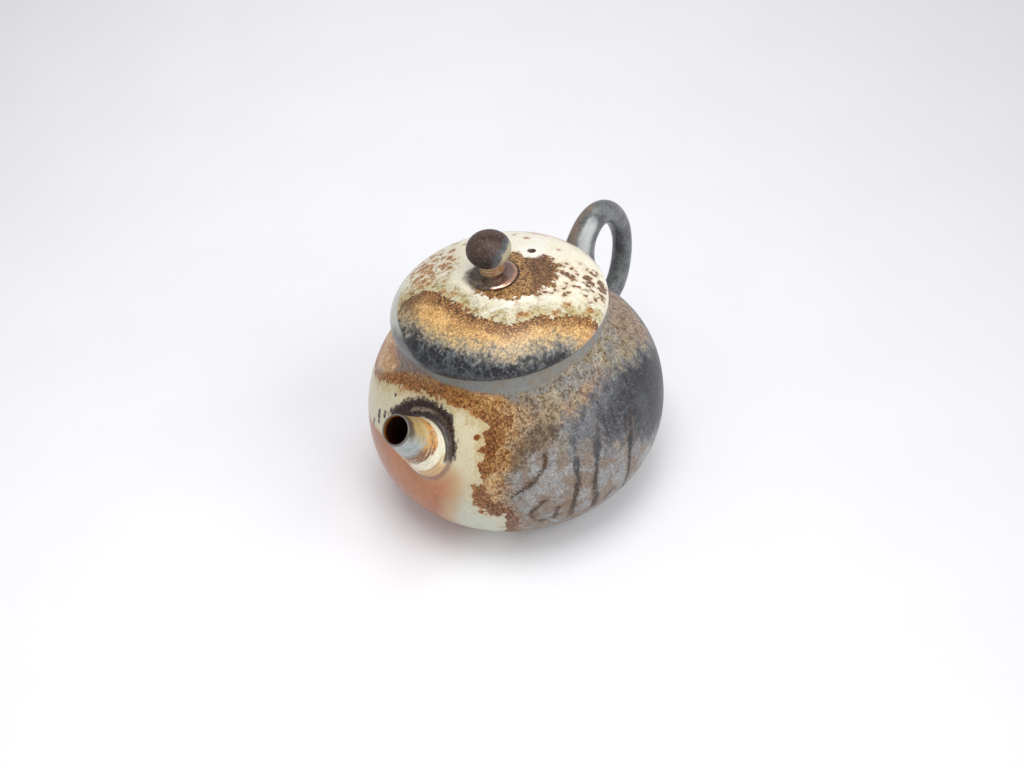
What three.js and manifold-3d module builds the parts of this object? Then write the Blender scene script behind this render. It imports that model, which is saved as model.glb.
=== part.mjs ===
// Side teapot in porcelain: thrown pot, stub spout with strainer, loop handle, domed lid with ball knob.
// Millimetres, +Z up. Origin: centre of the flat base. +X is the spout side, the handle is on -X.
import * as THREE from 'three';
import * as BufferGeometryUtils from 'three/addons/utils/BufferGeometryUtils.js';
import Module from 'manifold-3d';

// Pot body: belly, base and wall
const BELLY_R = 42.5;
const BELLY_Z = 28;
const BASE_R = 22.6;
const BASE_BEVEL = 0.7;
const LOWER_FULLNESS = 2.2;
const UPPER_FULLNESS = 2.24;
const WALL = 3;
const FLOOR = 3.6;
const FLOOR_CORNER = 5;

// Shoulder, the hollow under the neck, and the neck
const SHOULDER_H = 21;
const CREASE_W = 4.3;
const CREASE_H = 7.5;
const CREASE_PULL = 0.8;
const CREASE_LIFT = 0.6;
const NECK_R = 28.8;
const NECK_H = 4;
const NECK_WALL = 2.7;
const RIM_ROUND = 0.6;

// Lid: overhang past the neck, edge, dome and shell
const LID_OVERHANG = 1.2;
const LID_EDGE = 0.9;
const LID_LIP = 0.5;
const DOME_H = 10.7;
const DOME_FULLNESS = 1.883;
const LID_WALL = 3;
const VENT_D = 2.1;
const VENT_R = 14.6;
const VENT_AZIMUTH = 170.5;

// Flange ring under the lid, inside the neck
const FLANGE_CLEARANCE = 0.5;
const FLANGE_WALL = 2.4;
const FLANGE_DEPTH = 5;
const FLANGE_TAPER = 0.5;
const FLANGE_ROUND = 0.6;

// Knob: flared foot, waist, ring and ball
const FOOT_R = 6.7;
const FOOT_EDGE = 0.6;
const FOOT_CHAMFER = 0.15;
const FLARE_LOW = 0.2;
const FLARE_IN = 0.45;
const WAIST_R = 2.7;
const WAIST_Z = 1.8;
const RING_R = 3.35;
const RING_H = 1;
const NECKLET_R = 3;
const COLLAR_R = 3.5;
const STEM_H = 4.9;
const BALL_R = 6.1;
const BALL_HALF_H = 4.75;

// Spout: how far its root lies above the belly's widest line, slope, length and section, then its bore
const SPOUT_ROOT_RISE = 13.7;
const SPOUT_SLOPE = 56;
const SPOUT_LENGTH = 15.6;
const SPOUT_TIP_R = 4.4;
const SPOUT_ROOT_R = 7.8;
const SPOUT_LIP = 0.75;
const SPOUT_ROOT_WALL = 2.4;
const SPOUT_CUT = 46;

// Strainer: a pierced dome over the spout hole
const STRAINER_MARGIN = 3;
const STRAINER_BULGE = 4.5;
const STRAINER_WALL = 1.4;
const STRAINER_HOLE_D = 1.5;
const STRAINER_PITCH = 2.6;
const STRAINER_RINGS = [1, 6, 12];

// Handle: centre of the loop from the belly, half axes, section and roots
const HANDLE_STANDOFF = 4.8;
const HANDLE_CENTRE_RISE = 15.2;
const HANDLE_REACH = 12;
const HANDLE_RISE = 15.6;
const HANDLE_TOP_R = 3.75;
const HANDLE_OUTER_R = 3;
const HANDLE_LOW_R = 3.1;
const HANDLE_TOP_ROOT = 158;
const HANDLE_LOW_ROOT = -118;
const HANDLE_ROOT_FLARE = 1.3;
const HANDLE_FLARE_SPAN = 40;
const HANDLE_FLATTEN = 0.95;

// Gap left where one piece is cut to its neighbour
const JOINT_GAP = 0.3;

// Facets
const ROUND = 48;
const PROFILE = 16;
const LID_PROFILE = 12;
const CREASE_STEPS = 6;
const BEAD_STEPS = 4;
const CORNER_STEPS = 3;
const SPOUT_SIDES = 24;
const SPOUT_RINGS = 6;
const HANDLE_SIDES = 16;
const HANDLE_STEPS = 34;
const SMALL_ROUND = 24;
const DOME_ROUND = 20;
const DRILL_SIDES = 6;

const wasm = await Module();
wasm.setup();

const rad = THREE.MathUtils.degToRad;
const lerp = THREE.MathUtils.lerp;
const point = (r, z) => new THREE.Vector2(r, z);

// Sizes worked out from the ones above
const CREASE_Z = BELLY_Z + SHOULDER_H;
const CREASE_R = NECK_R + CREASE_W;
const RIM_Z = CREASE_Z + CREASE_H + NECK_H;
const MOUTH_R = NECK_R - NECK_WALL;
const LID_R = NECK_R + LID_OVERHANG;
const DOME_Z = RIM_Z + LID_EDGE;
const SEAT_R = FOOT_R + JOINT_GAP;
const LOWER_H = fullHeight(BELLY_Z, BASE_R, LOWER_FULLNESS);
const UPPER_H = fullHeight(SHOULDER_H, CREASE_R, UPPER_FULLNESS);
const LID_TOP = domeHeight(SEAT_R);
const FLANGE_R = MOUTH_R - FLANGE_CLEARANCE;
const FLANGE_IN = FLANGE_R - FLANGE_WALL;

// Height at which a superellipse that passes through (radius, height) would close on the axis
function fullHeight(height, radius, fullness) {
  return height / (1 - (radius / BELLY_R) ** fullness) ** (1 / fullness);
}

// Outer radius of the belly at a height
function bellyRadius(z) {
  const upper = z > BELLY_Z;
  const fullness = upper ? UPPER_FULLNESS : LOWER_FULLNESS;
  const share = Math.abs(z - BELLY_Z) / (upper ? UPPER_H : LOWER_H);
  return BELLY_R * (1 - share ** fullness) ** (1 / fullness);
}

// Degrees by which the belly's normal rises above the horizontal at a height
function bellyTilt(z) {
  const step = 0.5;
  const shrink = (bellyRadius(z - step) - bellyRadius(z + step)) / (2 * step);
  return THREE.MathUtils.radToDeg(Math.atan(shrink));
}

// Height of the lid's dome at a radius
function domeHeight(r) {
  return DOME_Z + DOME_H * (1 - (r / LID_R) ** DOME_FULLNESS) ** (1 / DOME_FULLNESS);
}

// Angle round the superellipse of the belly at which it passes a height above or below its widest line
function bellyAngle(height, fullHeightOfHalf, fullness) {
  return Math.asin((height / fullHeightOfHalf) ** (fullness / 2));
}

// Outer profile of the pot from the base's edge to the start of the neck
function bellyCurve() {
  const curve = [];
  const low = bellyAngle(BELLY_Z - BASE_BEVEL, LOWER_H, LOWER_FULLNESS);
  const high = bellyAngle(SHOULDER_H, UPPER_H, UPPER_FULLNESS);
  for (let i = 0; i <= PROFILE; i += 1) {
    const angle = lerp(-low, high, i / PROFILE);
    const half = angle < 0 ? [-LOWER_H, LOWER_FULLNESS] : [UPPER_H, UPPER_FULLNESS];
    const z = BELLY_Z + half[0] * Math.abs(Math.sin(angle)) ** (2 / half[1]);
    curve.push(point(bellyRadius(z), z));
  }
  const last = curve[PROFILE];
  const slope = last.clone().sub(curve[PROFILE - 1]).normalize();
  const crease = new THREE.CubicBezierCurve(
    last,
    last.clone().addScaledVector(slope, CREASE_W * CREASE_PULL),
    point(NECK_R, CREASE_Z + CREASE_H * CREASE_LIFT),
    point(NECK_R, CREASE_Z + CREASE_H),
  );
  return curve.concat(crease.getPoints(CREASE_STEPS).slice(1));
}

// The same curve moved by a distance along its normals, outwards where the distance is positive
function offsetCurve(curve, distance) {
  return curve.map((p, i) => {
    const before = curve[Math.max(i - 1, 0)];
    const after = curve[Math.min(i + 1, curve.length - 1)];
    const along = after.clone().sub(before).normalize();
    return point(p.x + along.y * distance, p.y - along.x * distance);
  });
}

// Quarter round between two profile points that bulges towards a corner
function roundCorner(from, corner, to, steps = CORNER_STEPS) {
  return new THREE.QuadraticBezierCurve(from, corner, to).getPoints(steps);
}

// Solid of revolution about Z from a closed profile, or one that starts and ends on the axis
function revolve(profile, segments = ROUND) {
  return toSolid(new THREE.LatheGeometry(profile, segments).rotateX(Math.PI / 2));
}

// Closed three.js geometry to a solid, turned the right way out
function toSolid(geometry) {
  const bare = geometry.clone();
  bare.deleteAttribute('normal');
  bare.deleteAttribute('uv');
  const merged = BufferGeometryUtils.mergeVertices(bare, 1e-4);
  const vertProperties = Float32Array.from(merged.attributes.position.array);
  const kept = withoutSlivers(Uint32Array.from(merged.index.array));
  const outward = signedVolume(vertProperties, kept) > 0;
  const triVerts = outward ? kept : kept.map((_, i) => kept[i - (i % 3) + 2 - (i % 3)]);
  return new wasm.Manifold(new wasm.Mesh({ numProp: 3, vertProperties, triVerts }));
}

// Triangles of a lathe's pole that merging left with two equal corners are dropped
function withoutSlivers(index) {
  const kept = [];
  for (let i = 0; i < index.length; i += 3) {
    const [a, b, c] = [index[i], index[i + 1], index[i + 2]];
    if (a !== b && b !== c && c !== a) kept.push(a, b, c);
  }
  return Uint32Array.from(kept);
}

function signedVolume(vertices, triangles) {
  const corner = (i) => new THREE.Vector3().fromArray(vertices, triangles[i] * 3);
  let volume = 0;
  for (let i = 0; i < triangles.length; i += 3) {
    volume += corner(i).dot(corner(i + 1).cross(corner(i + 2))) / 6;
  }
  return volume;
}

// Solid back to a three.js geometry
function toGeometry(solid) {
  const mesh = solid.getMesh();
  const geometry = new THREE.BufferGeometry();
  geometry.setAttribute('position', new THREE.BufferAttribute(Float32Array.from(mesh.vertProperties), 3));
  geometry.setIndex(new THREE.BufferAttribute(Uint32Array.from(mesh.triVerts), 1));
  geometry.computeVertexNormals();
  return geometry;
}

// Solid through a row of closed rings, each a list of as many Vector3, capped at both ends
function loft(rings) {
  const sides = rings[0].length;
  const positions = rings.flat().flatMap((p) => p.toArray());
  const index = [];
  for (let k = 0; k < rings.length - 1; k += 1) {
    for (let i = 0; i < sides; i += 1) {
      const [a, b] = [k * sides + i, k * sides + ((i + 1) % sides)];
      index.push(a, b, b + sides, a, b + sides, a + sides);
    }
  }
  const last = (rings.length - 1) * sides;
  for (let i = 1; i < sides - 1; i += 1) {
    index.push(0, i + 1, i, last, last + i, last + i + 1);
  }
  const geometry = new THREE.BufferGeometry();
  geometry.setAttribute('position', new THREE.Float32BufferAttribute(positions, 3));
  geometry.setIndex(index);
  return toSolid(geometry);
}

// Ring of points round a centre, in the plane of two unit vectors
function ring(centre, across, up, halfAcross, halfUp, sides) {
  return Array.from({ length: sides }, (_, i) => {
    const turn = (2 * Math.PI * i) / sides;
    return centre
      .clone()
      .addScaledVector(across, halfAcross * Math.cos(turn))
      .addScaledVector(up, halfUp * Math.sin(turn));
  });
}

// Straight drill along a direction, from a point to a length on
function drill(from, direction, radius, length, sides = DRILL_SIDES) {
  const geometry = new THREE.CylinderGeometry(radius, radius, length, sides);
  geometry.translate(0, length / 2, 0);
  geometry.applyQuaternion(new THREE.Quaternion().setFromUnitVectors(new THREE.Vector3(0, 1, 0), direction));
  geometry.translate(from.x, from.y, from.z);
  return toSolid(geometry);
}

// The space of the pot's whole outside, grown by a distance, for cutting what is luted to it
function potOutside(grow) {
  const curve = offsetCurve(bellyCurve(), grow);
  return revolve([
    point(0, -grow),
    point(BASE_R, -grow),
    ...curve,
    point(NECK_R + grow, RIM_Z),
    point(0, RIM_Z),
  ]);
}

// The pot's hollow, shrunk by a distance, with every second point of the outside's curve, up to past the rim
function potHollow(shrink) {
  const wall = offsetCurve(bellyCurve(), -(WALL + shrink))
    .filter((_, i) => i % 2 === 0)
    .filter((p) => p.y > FLOOR + FLOOR_CORNER / 2);
  const floorZ = FLOOR + shrink;
  const corner = point(wall[0].x - FLOOR_CORNER / 4, floorZ);
  const mouth = MOUTH_R - shrink;
  const inner = wall.filter((p) => p.y < CREASE_Z + CREASE_H * CREASE_PULL && p.x > mouth);
  return revolve([
    point(0, floorZ),
    ...roundCorner(point(wall[0].x - FLOOR_CORNER, floorZ), corner, wall[0]),
    ...inner.slice(1),
    point(mouth, CREASE_Z + CREASE_H),
    point(mouth, RIM_Z + WALL),
    point(0, RIM_Z + WALL),
  ]);
}

// Thrown pot with a flat base, bevelled at its edge, and a rounded rim
function makePotBody() {
  const outside = revolve([
    point(0, 0),
    point(BASE_R, 0),
    ...bellyCurve(),
    ...roundCorner(point(NECK_R, RIM_Z - RIM_ROUND), point(NECK_R, RIM_Z), point(NECK_R - RIM_ROUND, RIM_Z)),
    point(0, RIM_Z),
  ]);
  return outside.subtract(potHollow(0)).subtract(spoutBore());
}

// Spout, in the XZ plane: it starts square to the belly and ends square to its slanted mouth
const ACROSS = new THREE.Vector3(0, 1, 0);
const SPOUT_ROOT_Z = BELLY_Z + SPOUT_ROOT_RISE;
const spoutRoot = new THREE.Vector3(bellyRadius(SPOUT_ROOT_Z), 0, SPOUT_ROOT_Z);
const spoutTip = spoutRoot.clone().addScaledVector(slanted(SPOUT_SLOPE), SPOUT_LENGTH);
const rootTilt = bellyTilt(SPOUT_ROOT_Z);

// Unit vector in the XZ plane at an angle above +X
function slanted(degrees) {
  return new THREE.Vector3(Math.cos(rad(degrees)), 0, Math.sin(rad(degrees)));
}

// Solid of rings from a stretch behind the root, square to the belly, to a stretch past the mouth
function spoutLoft(behind, rootR, tipR, past) {
  const section = (centre, tilt, r) => ring(centre, ACROSS, slanted(tilt + 90), r, r, SPOUT_SIDES);
  const rings = [section(spoutRoot.clone().addScaledVector(slanted(rootTilt), -behind), rootTilt, rootR)];
  for (let k = 0; k <= SPOUT_RINGS; k += 1) {
    const share = k / SPOUT_RINGS;
    const centre = spoutRoot.clone().lerp(spoutTip, share);
    rings.push(section(centre, lerp(rootTilt, SPOUT_CUT, share), lerp(rootR, tipR, share)));
  }
  if (past > 0) {
    rings.push(section(spoutTip.clone().addScaledVector(slanted(SPOUT_CUT), past), SPOUT_CUT, tipR));
  }
  return loft(rings);
}

// The bore runs from the pot's hollow to past the mouth
function spoutBore() {
  return spoutLoft(WALL * 2, SPOUT_ROOT_R - SPOUT_ROOT_WALL, SPOUT_TIP_R - SPOUT_LIP, SPOUT_LIP);
}

// Hollow spout cut to the belly
function makeSpout() {
  return spoutLoft(WALL, SPOUT_ROOT_R, SPOUT_TIP_R, 0).subtract(spoutBore()).subtract(potOutside(JOINT_GAP));
}

// Pierced dome over the spout hole, inside the pot: its rim follows the wall, and its holes lie in rings
function makeStrainer() {
  const rimR = SPOUT_ROOT_R - SPOUT_ROOT_WALL + STRAINER_MARGIN;
  const wallOut = slanted(rootTilt);
  const crown = STRAINER_BULGE + STRAINER_WALL;
  const domeR = (rimR ** 2 + crown ** 2) / (2 * crown);
  const wallInside = spoutRoot.clone().addScaledVector(wallOut, -WALL);
  const centre = wallInside.clone().addScaledVector(wallOut, domeR - crown);
  const turn = new THREE.Quaternion().setFromUnitVectors(new THREE.Vector3(0, 0, 1), wallOut);
  const ball = (r) => {
    const sphere = new THREE.SphereGeometry(r, DOME_ROUND, DOME_ROUND / 2).rotateX(Math.PI / 2);
    return toSolid(sphere.applyQuaternion(turn).translate(centre.x, centre.y, centre.z));
  };
  let dome = ball(domeR).subtract(ball(domeR - STRAINER_WALL)).intersect(potHollow(JOINT_GAP));
  const side = ACROSS;
  const up = new THREE.Vector3().crossVectors(wallOut, side);
  STRAINER_RINGS.forEach((count, k) => {
    const lean = (k * STRAINER_PITCH) / domeR;
    for (let i = 0; i < count; i += 1) {
      const around = (2 * Math.PI * (i + 0.5 * (k % 2))) / count;
      const direction = wallOut
        .clone()
        .multiplyScalar(-Math.cos(lean))
        .addScaledVector(side, Math.sin(lean) * Math.cos(around))
        .addScaledVector(up, Math.sin(lean) * Math.sin(around));
      dome = dome.subtract(drill(centre, direction, STRAINER_HOLE_D / 2, domeR * 2));
    }
  });
  return dome;
}

// Section radius of the handle at an angle round its loop, 0 at its furthest reach and 90 at its top,
// with a flare where the loop nears a root
function handleRadius(degrees) {
  const end = degrees > 0 ? HANDLE_TOP_R : HANDLE_LOW_R;
  const body = lerp(HANDLE_OUTER_R, end, Math.abs(degrees) / 90);
  const toRoot = degrees > 0 ? HANDLE_TOP_ROOT - degrees : degrees - HANDLE_LOW_ROOT;
  const near = Math.min(Math.max(1 - toRoot / HANDLE_FLARE_SPAN, 0), 1);
  return body + HANDLE_ROOT_FLARE * near ** 2;
}

// Section of the handle at an angle round its loop, moved a distance on along the loop's tangent
function handleRing(degrees, further) {
  const angle = rad(degrees);
  const centreX = BELLY_R + HANDLE_STANDOFF;
  const centreZ = BELLY_Z + HANDLE_CENTRE_RISE;
  const along = new THREE.Vector3(HANDLE_REACH * Math.sin(angle), 0, HANDLE_RISE * Math.cos(angle));
  along.normalize();
  const outward = new THREE.Vector3(-along.z, 0, along.x);
  const centre = new THREE.Vector3(
    -(centreX + HANDLE_REACH * Math.cos(angle)),
    0,
    centreZ + HANDLE_RISE * Math.sin(angle),
  ).addScaledVector(along, further);
  const r = handleRadius(degrees);
  return ring(centre, ACROSS, outward, r, r * HANDLE_FLATTEN, HANDLE_SIDES);
}

// Pulled loop handle on the -X side, thicker towards its upper root, with both ends cut to the belly
function makeHandle() {
  const rings = [handleRing(HANDLE_LOW_ROOT, -HANDLE_REACH)];
  for (let k = 0; k <= HANDLE_STEPS; k += 1) {
    rings.push(handleRing(lerp(HANDLE_LOW_ROOT, HANDLE_TOP_ROOT, k / HANDLE_STEPS), 0));
  }
  rings.push(handleRing(HANDLE_TOP_ROOT, HANDLE_REACH));
  return loft(rings).subtract(potOutside(JOINT_GAP));
}

// Lid: a dome with a flat seat for the knob's foot, a flat ring that rests on the rim, and a hollow
function makeLid() {
  const dome = [point(0, LID_TOP), point(SEAT_R, LID_TOP)];
  for (let i = 1; i <= LID_PROFILE; i += 1) {
    const r = lerp(SEAT_R, LID_R, Math.sin((Math.PI / 2) * (i / LID_PROFILE)));
    dome.push(point(r, domeHeight(r)));
  }
  const hollow = [];
  const hollowSteps = LID_PROFILE / 2;
  for (let i = 0; i <= hollowSteps; i += 1) {
    const r = FLANGE_IN * (1 - (i / hollowSteps) ** 2);
    hollow.push(point(r, domeHeight(r) - LID_WALL));
  }
  const profile = [
    ...dome,
    ...roundCorner(point(LID_R, RIM_Z + LID_LIP), point(LID_R, RIM_Z), point(LID_R - LID_LIP, RIM_Z)),
    point(FLANGE_IN, RIM_Z),
    ...hollow,
  ];
  const azimuth = rad(VENT_AZIMUTH);
  const start = new THREE.Vector3(VENT_R * Math.cos(azimuth), VENT_R * Math.sin(azimuth), RIM_Z);
  const up = new THREE.Vector3(0, 0, 1);
  return revolve(profile).subtract(drill(start, up, VENT_D / 2, DOME_H * 2, DRILL_SIDES + 4));
}

// Flange ring that drops into the neck, tapered and rounded at its lower edge
function makeFlange() {
  const low = RIM_Z - FLANGE_DEPTH;
  return revolve([
    point(FLANGE_R, RIM_Z),
    point(FLANGE_IN, RIM_Z),
    ...roundCorner(
      point(FLANGE_IN, low + FLANGE_ROUND),
      point(FLANGE_IN, low),
      point(FLANGE_IN + FLANGE_ROUND, low),
    ),
    ...roundCorner(
      point(FLANGE_R - FLANGE_TAPER - FLANGE_ROUND, low),
      point(FLANGE_R - FLANGE_TAPER, low),
      point(FLANGE_R - FLANGE_TAPER, low + FLANGE_ROUND),
    ),
    point(FLANGE_R, RIM_Z),
  ]);
}

// Knob stem: flared foot on the lid, a waist, a ring and a short collar under the ball
function makeKnobStem() {
  const foot = LID_TOP;
  const flare = new THREE.CubicBezierCurve(
    point(FOOT_R - FOOT_CHAMFER, foot + FOOT_EDGE),
    point(lerp(WAIST_R, FOOT_R, FLARE_IN), foot + FOOT_EDGE + FLARE_LOW),
    point(WAIST_R, foot + WAIST_Z - FOOT_EDGE),
    point(WAIST_R, foot + WAIST_Z),
  );
  const bead = roundCorner(
    point(WAIST_R, foot + WAIST_Z),
    point(lerp(WAIST_R, RING_R, 2), foot + WAIST_Z + RING_H / 2),
    point(NECKLET_R, foot + WAIST_Z + RING_H),
    BEAD_STEPS,
  );
  const top = foot + STEM_H;
  return revolve([
    point(0, foot),
    point(FOOT_R - FOOT_CHAMFER, foot),
    point(FOOT_R, foot + FOOT_EDGE / 2),
    ...flare.getPoints(CREASE_STEPS),
    ...bead.slice(1),
    point(COLLAR_R, top),
    point(0, top),
  ], SMALL_ROUND);
}

// Ball of the knob, a little flattened, with a flat under it where it meets the stem
function makeKnobBall() {
  const flat = Math.asin(COLLAR_R / BALL_R);
  const centreZ = LID_TOP + STEM_H + BALL_HALF_H * Math.cos(flat);
  const profile = [point(0, LID_TOP + STEM_H)];
  for (let i = 0; i < PROFILE; i += 1) {
    const turn = lerp(flat, Math.PI, i / PROFILE);
    profile.push(point(BALL_R * Math.sin(turn), centreZ - BALL_HALF_H * Math.cos(turn)));
  }
  profile.push(point(0, centreZ + BALL_HALF_H));
  return revolve(profile, SMALL_ROUND);
}

const pieces = [
  ['pot_body', makePotBody, 0xb5a98e, 0.42],
  ['spout', makeSpout, 0xc9c2ab, 0.32],
  ['spout_strainer', makeStrainer, 0xbfb59c, 0.5],
  ['handle', makeHandle, 0x6a7074, 0.38],
  ['lid', makeLid, 0xcfc09a, 0.4],
  ['lid_flange', makeFlange, 0xc7b89c, 0.6],
  ['knob_stem', makeKnobStem, 0xa07a4c, 0.28],
  ['knob_ball', makeKnobBall, 0x4a4140, 0.55],
];

const teapot = new THREE.Group();
for (const [name, make, color, roughness] of pieces) {
  const material = new THREE.MeshStandardMaterial({ color, roughness, metalness: 0 });
  const mesh = new THREE.Mesh(toGeometry(make()), material);
  mesh.name = name;
  teapot.add(mesh);
}

export default teapot;
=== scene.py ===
"""Looks of a small hand-thrown porcelain teapot with a kiln-effect glaze, built round its CAD frame."""

from __future__ import annotations

import logging
import math
from collections.abc import Callable
from dataclasses import dataclass
from enum import Enum

import bmesh
import bpy
import numpy as np
from mathutils import Matrix, Vector

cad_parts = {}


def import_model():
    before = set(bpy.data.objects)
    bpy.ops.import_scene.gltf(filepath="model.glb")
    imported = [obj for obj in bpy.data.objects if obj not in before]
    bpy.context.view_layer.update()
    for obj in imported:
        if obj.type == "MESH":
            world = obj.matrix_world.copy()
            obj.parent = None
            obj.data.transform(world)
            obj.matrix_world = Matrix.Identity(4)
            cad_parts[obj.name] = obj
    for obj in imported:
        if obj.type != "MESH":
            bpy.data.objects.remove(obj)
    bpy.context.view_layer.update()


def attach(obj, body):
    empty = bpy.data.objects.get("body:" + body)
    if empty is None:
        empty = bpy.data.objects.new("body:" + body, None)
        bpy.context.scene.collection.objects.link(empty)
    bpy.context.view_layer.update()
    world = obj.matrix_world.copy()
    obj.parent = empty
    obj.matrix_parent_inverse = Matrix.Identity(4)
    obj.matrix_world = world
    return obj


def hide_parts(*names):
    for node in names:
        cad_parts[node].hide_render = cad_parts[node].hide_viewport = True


MM = 0.001
LOG = logging.getLogger("teapot")
SIDEWAYS = np.array([0.0, 1.0, 0.0])
Outline = tuple[tuple[float, float], ...]
Rounds = tuple[tuple[float, float, float], ...]


class Body(Enum):
    """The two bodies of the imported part."""

    POT = "pot"
    LID = "lid"


def smooth(low: float, high: float, x: np.ndarray) -> np.ndarray:
    """Rise from 0 to 1 between two values, level at both ends.

    Args:
        low: Value at which the rise starts.
        high: Value at which it ends.
        x: The values to ease.

    Returns:
        The eased values.
    """
    t = np.clip((np.asarray(x, float) - low) / (high - low), 0, 1)
    return t * t * (3 - 2 * t)


def bezier(points: list, steps: int) -> np.ndarray:
    """Points along a Bezier curve of any degree.

    Args:
        points: Control points, each a pair or an array of any one shape.
        steps: Number of stretches.

    Returns:
        An array of steps + 1 points, first axis along the curve.
    """
    t = np.linspace(0, 1, steps + 1)
    t = t.reshape((-1,) + (1,) * np.ndim(points[0]))
    n = len(points) - 1
    return sum(math.comb(n, k) * (1 - t) ** (n - k) * t**k * np.asarray(p)[None] for k, p in enumerate(points))


def turned(profile: np.ndarray, columns: int) -> np.ndarray:
    """Rings of a profile of (radius, height) turned round Z.

    Args:
        profile: Profile points, in millimetres.
        columns: Points round each ring.

    Returns:
        An array of rings, columns and 3 coordinates.
    """
    around = np.arange(columns) * (2 * math.pi / columns)
    r, z = profile[:, :1], profile[:, 1:]
    return np.stack([r * np.cos(around), r * np.sin(around), np.repeat(z, columns, 1)], 2)


def crossing(height: Callable[[np.ndarray], np.ndarray], low: np.ndarray, high: np.ndarray) -> np.ndarray:
    """Parameter at which a height changes sign, by halving.

    Args:
        height: Function of the parameters that is below 0 at low and above 0 at high.
        low: Parameters inside.
        high: Parameters outside.

    Returns:
        The parameters at the crossing.
    """
    low, high = low.copy(), high.copy()
    for _ in range(40):
        middle = (low + high) / 2
        outside = height(middle) > 0
        high = np.where(outside, middle, high)
        low = np.where(outside, low, middle)
    return (low + high) / 2


def unit(vectors: np.ndarray) -> np.ndarray:
    """Vectors brought to length 1."""
    return vectors / np.linalg.norm(vectors, axis=-1, keepdims=True)


def put_in_scene(name: str, data: bpy.types.ID) -> bpy.types.Object:
    """Make an object of a mesh, lamp or camera and link it to the scene.

    Args:
        name: Name of the object.
        data: What it shows.

    Returns:
        The object.
    """
    made = bpy.data.objects.new(name, data)
    bpy.context.scene.collection.objects.link(made)
    return made


class Skin:
    """A mesh made of rings of points, with float attributes that its finish reads."""

    def __init__(self, name: str, rings: np.ndarray, closed: bool = False) -> None:
        """Lay quads over the rings.

        Args:
            name: Name of the piece.
            rings: Rings, columns and 3 coordinates, in millimetres.
            closed: Close the first and the last ring with a point at its centre.
        """
        rows, columns, _ = rings.shape
        self.points = rings.reshape(-1, 3)
        index = np.arange(rows * columns).reshape(rows, columns)
        lower, upper = index[:-1], index[1:]
        quads = np.stack([lower, np.roll(lower, -1, 1), np.roll(upper, -1, 1), upper], 2).reshape(-1, 4)
        faces = quads.tolist()
        for ring, flip in ((index[0], True), (index[-1], False)) if closed else ():
            self.points = np.vstack([self.points, self.points[ring].mean(0)])
            tip = len(self.points) - 1
            pairs = zip(ring.tolist(), np.roll(ring, -1).tolist())
            faces += [[b, a, tip] if flip else [a, b, tip] for a, b in pairs]
        mesh = bpy.data.meshes.new(name)
        mesh.from_pydata((self.points * MM).tolist(), [], faces)
        mesh.polygons.foreach_set("use_smooth", [True] * len(mesh.polygons))
        self.object = put_in_scene(name, mesh)

    def stamp(self, name: str, values: np.ndarray) -> None:
        """Keep one number per point for the finish to read.

        Args:
            name: Name of the attribute.
            values: One value per point.
        """
        attribute = self.object.data.attributes.new(name, "FLOAT", "POINT")
        attribute.data.foreach_set("value", np.asarray(values, np.float32))

    def stamp_turn(self, around: np.ndarray) -> None:
        """Keep the angle round the section, from -180 to 180 degrees.

        Args:
            around: Angles of one ring's points, in radians.
        """
        turn = np.degrees((around + math.pi) % (2 * math.pi) - math.pi)
        self.stamp("turn", np.tile(turn, len(self.points) // len(around)))

    def open_round(self, foot: np.ndarray, along: np.ndarray, radius: float, depth: float = 8.0) -> None:
        """Take out the faces round a half line, where another piece passes through the wall.

        Args:
            foot: Point on the outside.
            along: Unit direction outward.
            radius: Distance from the line up to which faces go.
            depth: How far inward the line starts.
        """
        bm = bmesh.new()
        bm.from_mesh(self.object.data)
        gone = []
        for face in bm.faces:
            step = np.array(face.calc_center_median()) / MM - foot
            reach = step @ along
            if reach > -depth and np.linalg.norm(step - reach * along) < radius:
                gone.append(face)
        bmesh.ops.delete(bm, geom=gone, context="FACES")
        bm.to_mesh(self.object.data)
        bm.free()

    def drill(self, bores: list[tuple[np.ndarray, np.ndarray, float, float]]) -> None:
        """Cut round holes.

        Args:
            bores: Foot, direction, radius and length of each, in millimetres.
        """
        bm = bmesh.new()
        for foot, along, radius, length in bores:
            turn = Vector(along).to_track_quat("Z", "Y").to_matrix().to_4x4()
            middle = Matrix.Translation(Vector(np.asarray(foot) + np.asarray(along) * length / 2) * MM)
            size = {"radius1": radius * MM, "radius2": radius * MM, "depth": length * MM}
            bmesh.ops.create_cone(bm, cap_ends=True, segments=40, matrix=middle @ turn, **size)
        mesh = bpy.data.meshes.new("cutter")
        bm.to_mesh(mesh)
        bm.free()
        cutter = put_in_scene("cutter", mesh)
        cut = self.object.modifiers.new("bore", "BOOLEAN")
        cut.operation, cut.solver, cut.object = "DIFFERENCE", "EXACT", cutter
        with bpy.context.temp_override(object=self.object):
            bpy.ops.object.modifier_apply(modifier=cut.name)
        bpy.data.objects.remove(cutter)
        self.object.data.polygons.foreach_set("use_smooth", [True] * len(self.object.data.polygons))
        self.object.data.set_sharp_from_angle(angle=math.radians(50))

    def place(self, body: Body, node: str, slot: str, finish: bpy.types.Material) -> None:
        """Put the piece on its body, in the place of its CAD node, in its finish.

        Args:
            body: Body that it rides on.
            node: CAD node that it stands for.
            slot: Material slot of the record; not used.
            finish: Its material.
        """
        self.object.data.materials.clear()
        self.object.data.materials.append(finish)
        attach(self.object, body.value)
        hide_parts(node)
        LOG.info("%s: %d points, in place of %s", self.object.name, len(self.object.data.vertices), node)


# ---------------------------------------------------------------- forms


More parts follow.
